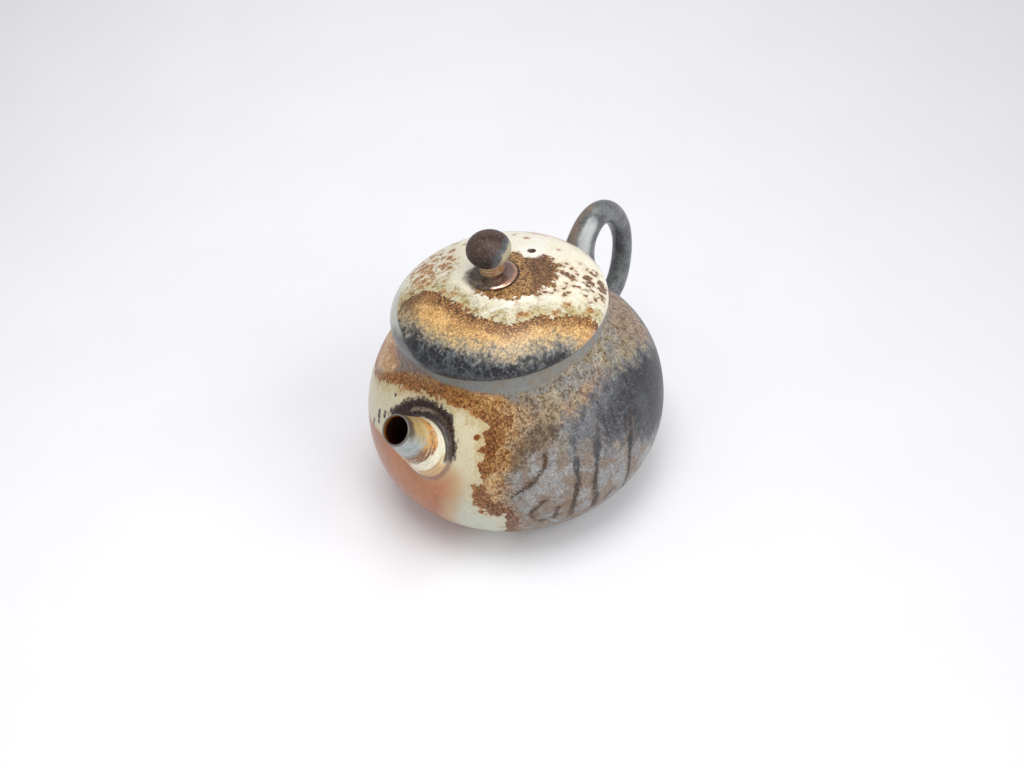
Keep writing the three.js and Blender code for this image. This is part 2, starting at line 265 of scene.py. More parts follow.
@dataclass
class Pot:
    """Thrown pot: round belly, soft crease, short neck and flat base."""

    belly_radius: float = 42.5
    belly_height: float = 28.0
    base_radius: float = 22.6
    base_bevel: float = 0.7
    lower_fullness: float = 2.2
    upper_fullness: float = 2.24
    shoulder: float = 21.0
    crease_radius: float = 33.1
    crease_height: float = 7.5
    crease_pull: float = 3.44
    crease_lift: float = 4.5
    neck_radius: float = 28.8
    rim_height: float = 60.5
    rim_round: float = 0.6
    mouth_radius: float = 26.1
    wall: float = 3.0
    floor: float = 3.6
    floor_corner: float = 5.0
    foot_width: float = 3.2
    foot_hollow: float = 0.5
    stray: float = 0.7
    stray_azimuth: float = -47.5
    sway: float = 0.12
    snug: float = 0.03
    neck_start: float = 57.3
    wall_end: float = 55.0
    columns: int = 320

    def __post_init__(self) -> None:
        """Work out the heights at which the two halves of the belly would close."""
        low = (1 - (self.base_radius / self.belly_radius) ** self.lower_fullness) ** (1 / self.lower_fullness)
        high = (1 - (self.crease_radius / self.belly_radius) ** self.upper_fullness) ** (1 / self.upper_fullness)
        self.low_height, self.high_height = self.belly_height / low, self.shoulder / high
        self.outer = self.outer_profile()
        self.inner = self.inner_profile()
        steps = np.hypot(*np.diff(self.outer, axis=0).T)
        self.meridian = np.concatenate([[0], np.cumsum(steps)])

    def belly(self, z: np.ndarray) -> np.ndarray:
        """Radius of the belly at a height.

        Args:
            z: Heights.

        Returns:
            The radii.
        """
        z = np.asarray(z, float)
        upper = z > self.belly_height
        n = np.where(upper, self.upper_fullness, self.lower_fullness)
        share = np.abs(z - self.belly_height) / np.where(upper, self.high_height, self.low_height)
        return self.belly_radius * np.clip(1 - share**n, 0, 1) ** (1 / n)

    def straying(self, z: np.ndarray, azimuth: np.ndarray) -> np.ndarray:
        """How far the hand-thrown wall lies off its round.

        Args:
            z: Heights.
            azimuth: Azimuths in radians.

        Returns:
            Distances outward.
        """
        side = np.clip(np.cos(azimuth - math.radians(self.stray_azimuth)), 0, 1) ** 2
        wave = np.sin(2 * math.pi * np.asarray(z) / (2 * self.belly_height)) * (1 - smooth(41, 50, z))
        slow = self.sway * np.sin(2 * azimuth + 0.8) * smooth(0, 12, z) * (1 - smooth(44, 52, z))
        return self.stray * side * wave + slow

    def radius(self, z: np.ndarray, azimuth: np.ndarray) -> np.ndarray:
        """Outer radius of the pot with its straying, from the base to the rim.

        Args:
            z: Heights.
            azimuth: Azimuths in radians.

        Returns:
            The radii.
        """
        z = np.asarray(z, float)
        neck = np.interp(z, self.outer[:, 1], self.outer[:, 0])
        plain = np.where(z < self.belly_height + self.shoulder, self.belly(z), neck)
        return plain + self.straying(z, azimuth)

    def height_over(self, points: np.ndarray, inside: float = 0.0) -> np.ndarray:
        """How far points stand out of the pot's outside.

        Args:
            points: The points.
            inside: Distance by which the outside is moved in first.

        Returns:
            Distances, negative within the pot.
        """
        z, azimuth = points[..., 2], np.arctan2(points[..., 1], points[..., 0])
        out = self.radius(z, azimuth)
        if inside:
            slope = self.radius(z - 0.5, azimuth) - self.radius(z + 0.5, azimuth)
            out = out - inside * np.sqrt(1 + slope**2)
        return np.hypot(points[..., 0], points[..., 1]) - out

    def ashore(self, points: np.ndarray) -> np.ndarray:
        """Points moved onto the outside, a hair within it.

        Args:
            points: The points.

        Returns:
            The points at the same heights and azimuths.
        """
        azimuth = np.arctan2(points[:, 1], points[:, 0])
        r = self.radius(points[:, 2], azimuth) - self.snug
        return np.stack([r * np.cos(azimuth), r * np.sin(azimuth), points[:, 2]], 1)

    def outward(self, z: float) -> np.ndarray:
        """Unit normal of the round belly at a height, in the XZ plane.

        Args:
            z: The height.

        Returns:
            The normal.
        """
        tilt = math.atan(float(self.belly(z - 0.5) - self.belly(z + 0.5)))
        return np.array([math.cos(tilt), 0, math.sin(tilt)])

    def outer_profile(self) -> np.ndarray:
        """Profile from the base's edge to the neck, as (radius, height).

        Returns:
            The profile.
        """
        low = math.asin(((self.belly_height - self.base_bevel) / self.low_height) ** (self.lower_fullness / 2))
        high = math.asin((self.shoulder / self.high_height) ** (self.upper_fullness / 2))
        angle = np.linspace(-low, high, 120)
        n = np.where(angle < 0, self.lower_fullness, self.upper_fullness)
        reach = np.where(angle < 0, -self.low_height, self.high_height)
        z = self.belly_height + reach * np.abs(np.sin(angle)) ** (2 / n)
        curve = np.stack([self.belly(z), z], 1)
        slope = unit(curve[-1] - curve[-2])
        r, top = self.neck_radius, self.belly_height + self.shoulder
        pull = curve[-1] + slope * self.crease_pull
        crease = bezier([curve[-1], pull, (r, top + self.crease_lift), (r, top + self.crease_height)], 18)
        neck = np.stack([np.full(4, r), np.linspace(self.neck_start, self.rim_height - self.rim_round, 4)], 1)
        return np.vstack([curve, crease[1:], neck])

    def inner_profile(self) -> np.ndarray:
        """Profile of the hollow from the floor's corner to the mouth.

        Returns:
            The profile.
        """
        along = unit(np.gradient(self.outer, axis=0))
        wall = self.outer - np.stack([along[:, 1], -along[:, 0]], 1) * self.wall
        r, z = wall.T
        wall = wall[(z > self.floor + self.floor_corner / 2) & (z < self.wall_end) & (r > self.mouth_radius)]
        inward = wall[0, 0] - self.floor_corner
        corner = bezier([(inward, self.floor), (inward + self.floor_corner * 0.75, self.floor), wall[0]], 8)
        r = self.mouth_radius
        throat = bezier([wall[-1], (r, wall[-1, 1] + 1.0), (r, self.rim_height - 3.5)], 5)
        return np.vstack([corner[:-1], wall, throat[1:]])

    def arc(self, z: np.ndarray) -> np.ndarray:
        """Length along the outside from the base's edge to a height."""
        return np.interp(z, self.outer[:, 1], self.meridian)

    def build(self) -> Skin:
        """Build the pot, outside and hollow in one skin.

        Returns:
            The skin, still without its spout hole.
        """
        foot_in = self.base_radius - self.foot_width
        recess = [(r, self.foot_hollow) for r in (3.0, 10.0, foot_in - 0.6)]
        ring = [(foot_in, self.foot_hollow * 0.5), (foot_in + 0.4, 0.04), (foot_in + 0.9, 0.0)]
        base = np.array([*recess, *ring, (self.base_radius - 0.6, 0.0), (self.base_radius - 0.1, 0.12)])
        rim_out, rim_in = (np.array([r, self.rim_height]) for r in (self.neck_radius, self.mouth_radius))
        drop, step = np.array([0, self.rim_round]), np.array([self.rim_round, 0])
        outer_rim = bezier([rim_out - drop, rim_out, rim_out - step], 5)[1:]
        rim = np.vstack([outer_rim, bezier([rim_in + step, rim_in, rim_in - drop], 5)])
        hollow = self.inner[::-1]
        middle = np.array([(hollow[-1, 0] * share, self.floor) for share in (0.8, 0.55, 0.3, 0.1)])
        profile = np.vstack([base, self.outer, rim, hollow, middle])
        rings = turned(profile, self.columns)
        azimuth = np.arctan2(rings[..., 1], rings[..., 0])
        out = self.straying(rings[..., 2], azimuth)
        rings[..., 0] += out * np.cos(azimuth)
        rings[..., 1] += out * np.sin(azimuth)
        skin = Skin("pot_body_thrown", rings, closed=True)
        inside = np.zeros(len(profile))
        inside[len(base) + len(self.outer) + len(rim) - 2 :] = 1
        skin.stamp("hollow", np.concatenate([np.repeat(inside, self.columns), [0, 1]]))
        return skin


@dataclass
class Spout:
    """Short tapered spout luted to the belly, with a thin turned lip."""

    pot: Pot
    root_height: float = 41.7
    slope: float = 58.0
    length: float = 15.6
    tip_radius: float = 4.15
    root_radius: float = 7.8
    lip: float = 0.5
    root_wall: float = 2.4
    cut: float = 46.0
    fillet: float = 1.1
    hollowing: float = 0.22
    lip_swell: float = 0.1
    lip_rise: float = 0.02
    lip_start: float = 0.985
    lip_depth: float = 0.97
    hole_radius: float = 6.5
    columns: int = 120

    def __post_init__(self) -> None:
        """Place the root and the mouth."""
        self.normal = self.pot.outward(self.root_height)
        self.root = np.array([float(self.pot.belly(self.root_height)), 0, self.root_height])
        slope = math.radians(self.slope)
        self.tip = self.root + self.length * np.array([math.cos(slope), 0, math.sin(slope)])
        self.root_tilt = math.atan2(self.normal[2], self.normal[0])
        self.around = np.arange(self.columns) * (2 * math.pi / self.columns)

    def line(self, t: np.ndarray, bore: bool) -> np.ndarray:
        """Points of the outside, or of the bore, at a share of the length for every column.

        Args:
            t: Shares, one per column, 0 at the root and 1 at the mouth.
            bore: The bore in place of the outside.

        Returns:
            One point per column.
        """
        tilt = self.root_tilt + (math.radians(self.cut) - self.root_tilt) * t
        root, tip = self.root_radius, self.tip_radius
        if bore:
            root, tip = root - self.root_wall, tip - self.lip
        r = root + (tip - root) * t
        if not bore:
            r = r - self.hollowing * np.sin(math.pi * np.clip(t, 0, 1)) + self.lip_swell * smooth(0.93, 1.0, t)
        up = np.stack([-np.sin(tilt), 0 * tilt, np.cos(tilt)], -1)
        centre = self.root + (self.tip - self.root) * t[:, None]
        return centre + r[:, None] * (np.cos(self.around)[:, None] * up + np.sin(self.around)[:, None] * SIDEWAYS)

    def build(self) -> Skin:
        """Build the outside with its fillet, the lip and the bore.

        Returns:
            The skin, with attributes for its own pattern.
        """
        low, high = np.full(self.columns, -0.6), np.full(self.columns, 0.7)
        meets = crossing(lambda t: self.pot.height_over(self.line(t, False)), low, high)
        root = self.line(meets, False)
        start_t = meets + self.fillet / self.length
        away = root - self.root
        away = unit(away - (away @ self.normal)[:, None] * self.normal)
        ashore = self.pot.ashore(root + away * self.fillet * 1.25)
        fillet = bezier([ashore, root, self.line(start_t, False)], 9)
        shares = np.linspace(0, 1, 30)[1:]
        outer_t = start_t[None] + (self.lip_start - start_t)[None] * shares[:, None]
        outer = np.stack([self.line(t, False) for t in outer_t])
        one = np.ones(self.columns)
        edge_out, edge_in = self.line(one, False), self.line(one, True)
        deeper = self.line(one * self.lip_depth, True)
        crest = (edge_out + edge_in) / 2 + self.lip_rise * (self.tip - self.root)
        lip = bezier([outer[-1], edge_out, crest], 4)[1:]
        lip_in = bezier([crest, edge_in, deeper], 4)[1:]
        hits = crossing(lambda t: self.pot.height_over(self.line(t, True), self.pot.wall), -1.2 * one, 0.6 * one)
        bore_t = self.lip_depth + (hits - 0.02 - self.lip_depth)[None] * np.linspace(0, 1, 24)[1:, None]
        bore = np.stack([self.line(t, True) for t in bore_t])
        rings = np.concatenate([fillet, outer, lip, lip_in, bore])
        skin = Skin("spout_thrown", rings)
        fillet_t = np.linspace(0, 1, 10)[:, None] * start_t[None]
        lips = np.repeat(np.linspace(1.0, 1.03, 8)[:, None], self.columns, 1)
        share = np.concatenate([fillet_t, outer_t, lips, bore_t])
        skin.stamp("run", share.ravel())
        skin.stamp_turn(self.around)
        inside = np.zeros(len(rings))
        inside[-len(bore) - 2 :] = 1
        skin.stamp("hollow", np.repeat(inside, self.columns))
        return skin


@dataclass
class Strainer:
    """Pierced dome over the spout hole, inside the pot."""

    spout: Spout
    margin: float = 3.0
    bulge: float = 4.5
    bite: float = 0.08
    wall: float = 1.4
    hole: float = 1.5
    pitch: float = 2.6
    rings: tuple[int, ...] = (1, 6, 12)
    columns: int = 72

    def build(self) -> Skin:
        """Build the dome and drill its holes.

        Returns:
            The pierced dome.
        """
        pot, out = self.spout.pot, self.spout.normal
        rim = self.spout.root_radius - self.spout.root_wall + self.margin
        crown = self.bulge + self.wall
        dome = (rim**2 + crown**2) / (2 * crown)
        centre = self.spout.root - out * pot.wall + out * (dome - crown)
        up = np.cross(out, SIDEWAYS)
        around = np.arange(self.columns) * (2 * math.pi / self.columns)
        spoke = np.cos(around)[:, None] * SIDEWAYS + np.sin(around)[:, None] * up

        def shell(radius: float, lean: np.ndarray) -> np.ndarray:
            """Points of a sphere at an angle from the dome's axis."""
            return centre + radius * (-np.cos(lean)[:, None] * out + np.sin(lean)[:, None] * spoke)

        def layer(radius: float) -> list[np.ndarray]:
            """Rings of a sphere from the axis to where it meets the wall.

            Args:
                radius: The sphere's radius.

            Returns:
                The rings.
            """
            near = np.full(self.columns, 0.1)
            end = crossing(lambda a: pot.height_over(shell(radius, a), pot.wall - self.bite), near, near + 1.9)
            return [shell(radius, end * share) for share in np.linspace(0, 1, 22)[1:]]

        outer, inner = layer(dome), layer(dome - self.wall)[::-1]
        skin = Skin("spout_strainer_dome", np.stack(outer + inner), closed=True)
        bores = []
        for k, count in enumerate(self.rings):
            lean = k * self.pitch / dome
            for i in range(count):
                turn = 2 * math.pi * (i + 0.5 * (k % 2)) / count
                aim = -out * math.cos(lean) + math.sin(lean) * (SIDEWAYS * math.cos(turn) + up * math.sin(turn))
                bores.append((centre + aim * dome * 0.4, aim, self.hole / 2, dome))
        skin.drill(bores)
        return skin


@dataclass
class Handle:
    """Pulled loop handle, thicker at its upper root, blended into the pot at both ends."""

    pot: Pot
    standoff: float = 4.8
    rise_to_centre: float = 15.2
    reach: float = 12.0
    rise: float = 15.6
    top_radius: float = 3.75
    outer_radius: float = 3.0
    low_radius: float = 3.1
    top_root: float = 158.0
    low_root: float = -118.0
    root_flare: float = 1.3
    flare_span: float = 40.0
    flatten: float = 0.95
    fillet: float = 1.9
    run_on: float = 0.24
    unevenness: float = 0.07
    clear: tuple[float, float] = (-60.0, 110.0)
    overrun: float = 45.0
    columns: int = 72

    def __post_init__(self) -> None:
        """Work out the angles round the section."""
        self.around = np.arange(self.columns) * (2 * math.pi / self.columns)

    def line(self, degrees: np.ndarray) -> np.ndarray:
        """Points of the surface at an angle round the loop, one per column; past a root it runs straight on.

        Args:
            degrees: Angles round the loop, 0 at its furthest reach and 90 at its top.

        Returns:
            One point per column.
        """
        held = np.clip(degrees, self.low_root, self.top_root)
        further = (degrees - held) * self.run_on
        end = np.where(held > 0, self.top_radius, self.low_radius)
        r = self.outer_radius + (end - self.outer_radius) * np.abs(held) / 90
        to_root = np.where(held > 0, self.top_root - held, held - self.low_root)
        r = r + self.root_flare * np.clip(1 - to_root / self.flare_span, 0, 1) ** 2
        a = np.radians(held)
        r = r + self.unevenness * np.sin(a * 5.3 + 1.0) * np.cos(self.around - 0.6)
        along = unit(np.stack([self.reach * np.sin(a), 0 * a, self.rise * np.cos(a)], 1))
        out = np.stack([-along[:, 2], 0 * a, along[:, 0]], 1)
        x = -(self.pot.belly_radius + self.standoff + self.reach * np.cos(a))
        z = self.pot.belly_height + self.rise_to_centre + self.rise * np.sin(a)
        centre = np.stack([x, 0 * a, z], 1) + along * further[:, None]
        sine, cosine = np.sin(self.around)[:, None], np.cos(self.around)[:, None]
        return centre + r[:, None] * (sine * SIDEWAYS + self.flatten * cosine * out)

    def root(self, outer: float, inner: float) -> tuple[np.ndarray, np.ndarray]:
        """Fillet of one end.

        Args:
            outer: An angle on the loop where it is clear of the pot.
            inner: An angle at which it lies within the wall.

        Returns:
            The fillet's rings from the pot to the handle, and the angles at which it ends.
        """
        one = np.ones(self.columns)
        meets = crossing(lambda a: self.pot.height_over(self.line(a)), inner * one, outer * one)
        root = self.line(meets)
        leave = meets + math.copysign(self.fillet / self.run_on, outer - inner) * 0.9
        centre = root.mean(0)
        slope = float(self.pot.belly(centre[2] - 0.5) - self.pot.belly(centre[2] + 0.5))
        normal = unit(unit(centre * (1, 1, 0)) + np.array([0, 0, slope]))
        away = root - centre
        away = unit(away - (away @ normal)[:, None] * normal)
        ashore = self.pot.ashore(root + away * self.fillet)
        return bezier([ashore, root, self.line(leave)], 9), leave

    def build(self) -> Skin:
        """Build the loop with both of its roots.

        Returns:
            The skin.
        """
        low, low_leave = self.root(self.clear[0], self.low_root - self.overrun)
        top, top_leave = self.root(self.clear[1], self.top_root + self.overrun)
        shares = (1 - np.cos(np.linspace(0, math.pi, 96))) / 2
        angles = low_leave[None] + (top_leave - low_leave)[None] * shares[1:-1, None]
        loop = np.stack([self.line(a) for a in angles])
        rings = np.concatenate([low, loop, top[::-1]])
        skin = Skin("handle_pulled", rings)
        run = np.concatenate([np.repeat(low_leave[None], 10, 0), angles, np.repeat(top_leave[None], 10, 0)])
        skin.stamp("run", run.ravel())
        skin.stamp_turn(self.around)
        skin.stamp("hollow", np.zeros(len(skin.points)))
        return skin


@dataclass
class Lid:
    """Domed lid with a flat seat for the knob, a vent hole and a hollow underneath."""

    radius: float = 30.0
    rim_height: float = 60.5
    edge: float = 0.9
    lip: float = 0.5
    dome_height: float = 10.7
    dome_fullness: float = 1.883
    wall: float = 3.0
    seat_radius: float = 7.0
    vent: float = 2.1
    vent_radius: float = 14.6
    vent_azimuth: float = 170.5
    flange_in: float = 23.2
    columns: int = 320

    def dome(self, r: np.ndarray) -> np.ndarray:
        """Height of the dome at a radius."""
        share = np.clip(1 - (np.asarray(r, float) / self.radius) ** self.dome_fullness, 0, 1)
        return self.rim_height + self.edge + self.dome_height * share ** (1 / self.dome_fullness)

    @property
    def top(self) -> float:
        """Height of the knob's seat."""
        return float(self.dome(self.seat_radius))

    def build(self) -> Skin:
        """Build the lid and drill its vent.

        Returns:
            The skin.
        """
        r = self.seat_radius + (self.radius - self.seat_radius) * np.sin(np.linspace(0, math.pi / 2, 84))
        outer = np.stack([r, self.dome(r)], 1)
        seat = np.array([(2.0, self.top), (5.5, self.top), (6.6, self.top)])
        corner = np.array([self.radius, self.rim_height])
        edge = bezier([corner + (0, self.lip), corner, corner - (self.lip, 0)], 6)
        under = np.array([(27.5, self.rim_height), (self.flange_in + 0.2, self.rim_height)])
        h = self.flange_in * (1 - np.linspace(0, 1, 30) ** 2)[:-1]
        hollow = np.stack([h, self.dome(h) - self.wall], 1)
        start = bezier([(self.flange_in, self.rim_height + 0.1), hollow[0]], 3)[:-1]
        profile = np.vstack([seat, outer, edge, under, start, hollow])
        skin = Skin("lid_dome", turned(profile, self.columns), closed=True)
        under_side = np.zeros(len(profile))
        under_side[len(seat) + len(outer) + len(edge) :] = 1
        skin.stamp("hollow", np.concatenate([np.repeat(under_side, self.columns), [0, 1]]))
        return skin

    def pierce(self, skin: Skin) -> None:
        """Drill the vent.

        Args:
            skin: The lid's skin.
        """
        azimuth = math.radians(self.vent_azimuth)
        r = self.vent_radius
        foot = np.array([r * math.cos(azimuth), r * math.sin(azimuth), self.rim_height])
        skin.drill([(foot, np.array([0, 0, 1.0]), self.vent / 2, self.dome_height * 2)])


@dataclass
class Flange:
    """Ring under the lid that drops into the neck."""

    outer: float = 25.6
    inner: float = 23.2
    top: float = 60.5
    depth: float = 5.0
    taper: float = 0.5
    soft: float = 0.6

    def build(self) -> Skin:
        """Build the ring.

        Returns:
            The skin.
        """
        low, r = self.top - self.depth, self.outer - self.taper
        side = bezier([(self.outer, self.top), (r, low + self.soft)], 8)
        corner_out = bezier([(r, low + self.soft), (r, low), (r - self.soft, low)], 5)
        corner_in = bezier([(self.inner + self.soft, low), (self.inner, low), (self.inner, low + self.soft)], 5)
        inside = bezier([(self.inner, low + self.soft), (self.inner, self.top + 0.3)], 6)
        profile = np.vstack([side[:-1], corner_out, corner_in, inside[1:]])
        return Skin("lid_flange_ring", turned(profile, 256))


@dataclass
class Knob:
    """Turned stem with a flared foot, and the flattened ball on it."""

    seat: float
    foot_radius: float = 6.7
    foot_edge: float = 0.6
    waist_radius: float = 2.7
    waist_height: float = 1.8
    ring_radius: float = 3.35
    ring_height: float = 1.0
    necklet_radius: float = 3.0
    collar_radius: float = 3.5
    stem_height: float = 4.9
    ball_radius: float = 6.1
    ball_half_height: float = 4.75

    def __post_init__(self) -> None:
        """Work out where the ball sits on the stem."""
        self.flat = math.asin(self.collar_radius / self.ball_radius)
        self.centre = self.seat + self.stem_height + self.ball_half_height * math.cos(self.flat)

    def build_stem(self) -> Skin:
        """Build the stem.

        Returns:
            The skin.
        """
        z, r, low = self.seat, self.foot_radius, self.seat + self.foot_edge
        waist, bend = self.waist_radius, self.seat + self.waist_height
        foot = bezier([(r - 0.1, z - 0.02), (r + 0.08, z + self.foot_edge * 0.6), (r - 0.55, low + 0.05)], 8)
        flare = bezier([foot[-1], (5.2, low + 0.5), (waist + 0.4, bend - 0.6), (waist, bend)], 16)
        bead_top = np.array([self.necklet_radius, bend + self.ring_height])
        bead = bezier([flare[-1], (2 * self.ring_radius - waist, flare[-1, 1] + 0.5), bead_top], 10)
        r, top = self.collar_radius, z + self.stem_height
        collar = bezier([bead_top, bead_top + (-0.25, 0.7), (r - 0.4, top - 0.7), (r, top)], 10)
        profile = np.vstack([foot, flare[1:], bead[1:], collar[1:]])
        return Skin("knob_stem_turned", turned(profile, 128), closed=True)

    def build_ball(self) -> Skin:
        """Build the ball.

        Returns:
            The skin.
        """
        turn = np.linspace(self.flat, math.pi - 0.03, 60)
        height = self.centre - self.ball_half_height * np.cos(turn)
        profile = np.stack([self.ball_radius * np.sin(turn), height], 1)
        return Skin("knob_ball_turned", turned(profile, 128), closed=True)


# ---------------------------------------------------------------- where the glaze effects lie


def outline_distance(
    u: np.ndarray, v: np.ndarray, scale: np.ndarray, outline: np.ndarray, closed: bool
) -> np.ndarray:
    """Distance of points to an outline, positive inside a closed one.

    Args:
        u: First coordinate of the points.
        v: Second coordinate, in millimetres.
        scale: Millimetres per unit of the first coordinate at each point.
        outline: Corners, in the same two coordinates.
        closed: The outline is a loop; a loop gives a sign.

    Returns:
        Distances in millimetres; for an open line they are all negative.
    """
    best = np.full(len(u), np.inf)
    inside = np.zeros(len(u), bool)
    stops = len(outline) if closed else len(outline) - 1
    for i in range(stops):
        (au, av), (bu, bv) = outline[i], outline[(i + 1) % len(outline)]
        pu, pv = (u - au) * scale, v - av
        du, dv = (bu - au) * scale, bv - av
        t = np.clip((pu * du + pv * dv) / np.maximum(du * du + dv * dv, 1e-9), 0, 1)
        best = np.minimum(best, np.hypot(pu - t * du, pv - t * dv))
        if closed and av != bv:
            inside ^= ((av > v) != (bv > v)) & (u < (bu - au) * (v - av) / (bv - av) + au)
    return np.where(inside, best, -best) if closed else -best


@dataclass(frozen=True)
class PotEffects:
    """Lines of the kiln effects on the pot, and of a painted shade on its neck, in degrees of azimuth and
    millimetres of height.
    """

    cream: Outline = (
        (-41, 45.6), (-33, 47.8), (-26, 49.3), (-19.6, 50.3), (-13.5, 51.2), (-7, 51.7), (-0.6, 51.9),
        (9.6, 51.5), (13.8, 51.3), (17.3, 51.0), (19.9, 50.1), (23, 49.9), (25.5, 49.3), (27.4, 48.6),
        (27.9, 47.5), (27, 46.4), (26.2, 45.2), (25.3, 43.5), (26.1, 42.2), (24.3, 39.7), (24.5, 37.2),
        (23.8, 35.2), (21.7, 33.8), (20.4, 32.3), (20.3, 29.8), (20.8, 27.1), (22.7, 25.2), (24.9, 26.6),
        (25.6, 25), (23.3, 23.1), (30.7, 22.7), (30.6, 20.2), (29, 15.6), (27, 8), (24, -3), (-100, -3),
        (-104, 8), (-112, 18), (-118, 28), (-112, 36), (-100, 41), (-80, 43), (-62, 42), (-53.6, 42.3),
        (-46, 43.5),
    )
    amber: Outline = (
        (-54, 43), (-48.5, 44.9), (-42.5, 47.3), (-34, 50.7), (-23.5, 53.6), (-16.5, 55.3), (-5.5, 57.3),
        (2, 56.8), (11, 56.7), (19, 56), (26.5, 55.7), (34, 54.6), (40, 52.6), (43.9, 51.1), (44.7, 48.6),
        (41.4, 46.1), (37.3, 43.2), (35, 39.8), (33.2, 35.7), (32, 29), (34, 22.6), (35, 16), (33, 8), (30, -3),
        (20, -3), (20, 20), (15, 30), (20, 44), (10, 49), (-20, 47), (-40, 43), (-100, 38), (-113, 28),
        (-103, 8), (-100, -3), (-110, -3), (-114, 8), (-121, 18), (-127, 29), (-120, 39), (-104, 44.5),
        (-80, 46),
    )
    slate: Outline = (
        (133, 37), (114, 44.3), (98.5, 47.3), (86.6, 47.7), (78.5, 47.1), (70.7, 46.5), (63.4, 44.9),
        (58.9, 43.1), (61.5, 40.2), (67.6, 39.1), (70.9, 36.7), (77.3, 34.8), (82.1, 33.7), (85.2, 31.2),
        (90.1, 30.2), (96, 27), (102, 23.8), (111, 20), (135, 18), (160, 22), (185, 26), (205, 33), (200, 42),
        (180, 46), (160, 45), (145, 41.5),
    )
    peach: Outline = (
        (-41, 33.6), (-34.5, 34.8), (-27.5, 35.8), (-19, 36.4), (-12, 36.4), (3.4, 33.9), (12.9, 35.3),
        (12.2, 30.4), (8, 22.7), (4, 15), (1, 6), (-1, -3), (-96, -3), (-98, 10), (-94, 20), (-82, 27),
        (-65, 31), (-50, 33),
    )
    crescent: Outline = (
        (-23.9, 43.1), (-21.6, 45.6), (-19.6, 46.9), (-17, 48.4), (-14.3, 49.4), (-10.8, 50.2), (-6.1, 50.7),
        (-1, 50.8), (3.9, 50.4), (7.2, 50.1), (10, 49.5), (11.5, 48.7), (12.2, 47.6), (13.3, 46.2),
        (14.2, 44.6), (14.5, 42.9), (14.3, 41), (12.4, 40.3), (11.0, 40.9), (9.6, 43), (9.0, 44.2), (7.4, 45.6),
        (4.6, 46.6), (1.0, 47.2), (-3.6, 47.0), (-9.2, 46.3), (-12, 45), (-20, 42.4),
    )
    smear: Outline = (
        (48.5, 47.3), (58.7, 45.8), (55.3, 44.3), (50.4, 42.8), (42, 41.6), (37, 37.5), (33.5, 38.5),
        (34.3, 42.2), (39, 45.2),
    )
    shoulder: Outline = (
        (150, 54), (118, 53.5), (119, 47), (131, 38.5), (150, 39), (176, 42), (205, 45), (222, 50), (215, 55),
    )
    neck_shade: Outline = (
        (-66, 64), (-56, 54.5), (-46.5, 52.6), (-38, 52.3), (-32, 51.9), (-23, 52.9), (-15.5, 54.3),
        (-10.5, 56), (-5, 58), (-2, 64),
    )
    throat: Outline = (
        (-50, 64), (-34, 59.5), (-21.5, 59), (-15.5, 58.2), (-5, 58), (2, 56.9), (11.5, 56.8), (19, 56.3),
        (26.5, 55.8), (33.5, 55.1), (42.5, 54.6), (53, 54.6), (65.5, 55.1), (78.5, 55.8), (91.5, 55.8),
        (103, 55.6), (125, 57), (140, 64),
    )
    tan: Outline = (
        (-34, 54), (-36, 50.6), (-42, 47.7), (-49.5, 45.1), (-56, 43.2), (-70, 43.4), (-90, 44), (-106, 42.5),
        (-114, 47), (-104, 53), (-80, 56), (-60, 56), (-46, 53.4),
    )
    low: Outline = (
        (33.5, 30), (35, 38.5), (44, 41.5), (52, 42.5), (60, 40), (68, 38), (77, 34), (90, 30), (104, 26),
        (120, 22), (140, 18), (160, 18), (175, 20), (190, 16), (196, -3), (33, -3), (33, 16),
    )
    halo: Outline = ((62, 47), (78, 50.4), (90, 50.6), (94, 48.6), (84, 46.3), (74, 46.6))
    thread: Outline = (
        (-11.5, 47.6), (-7.5, 48.5), (-4, 48.8), (-2.1, 49.2), (0.8, 48.9), (2.9, 48.9), (6.7, 48.3),
        (9.4, 47.2), (11.4, 45.4), (12.1, 43.2), (12.2, 41.4),
    )
    groove: Outline = ((12, 40), (11, 38), (8.6, 35.7), (4.9, 33.7), (-0.4, 32.9), (-5, 33.4), (-9, 35.5))
    drips: tuple[tuple[float, Outline], ...] = (
        (0.8, ((60.3, 36.2), (59.8, 34.6))),
        (0.5, ((60.4, 36.4), (59.4, 33.9), (59.4, 31.4))),
        (0.7, ((59.4, 30.4), (58.2, 27.1), (56.6, 22.4), (55, 16.2))),
        (0.3, ((73, 42), (71.8, 40), (70.6, 37.8))),
        (0.8, ((70.6, 37.8), (69, 35.4), (67.6, 32.4))),
        (0.6, ((67.6, 32.4), (66, 27.6), (65.6, 23.4), (66, 20.6))),
        (0.95, ((66, 20.6), (65.6, 18.8), (65, 16.2))),
        (0.3, ((88, 38), (86, 34.4))),
        (0.8, ((86, 34.4), (84.5, 32.3), (83.7, 29.6))),
        (0.5, ((83.7, 29.6), (82.6, 26.4), (82, 21.1), (80.8, 14.8))),
        (0.4, ((49.8, 41.5), (49, 38.8), (46.6, 36.2))),
        (0.6, ((46.6, 36.2), (42.6, 33.8), (38.5, 31.9), (34.4, 30))),
        (0.45, ((46.6, 26.9), (43, 24.8), (40, 22.3))),
        (0.35, ((40, 22.3), (40.6, 19.6), (43, 17.5), (45, 18.3))),
        (0.4, ((50.6, 22.4), (49.6, 19.9), (48.4, 17.2))),
        (0.3, ((74.5, 19.4), (72.5, 17.5), (70, 15.9))),
        (0.6, ((118, 27), (116, 20), (117, 13))),
        (0.5, ((141, 24), (143, 16), (141, 10))),
        (0.6, ((172, 25), (170, 17), (171, 9))),
        (0.4, ((-128, 34), (-130, 26), (-128, 18))),
    )
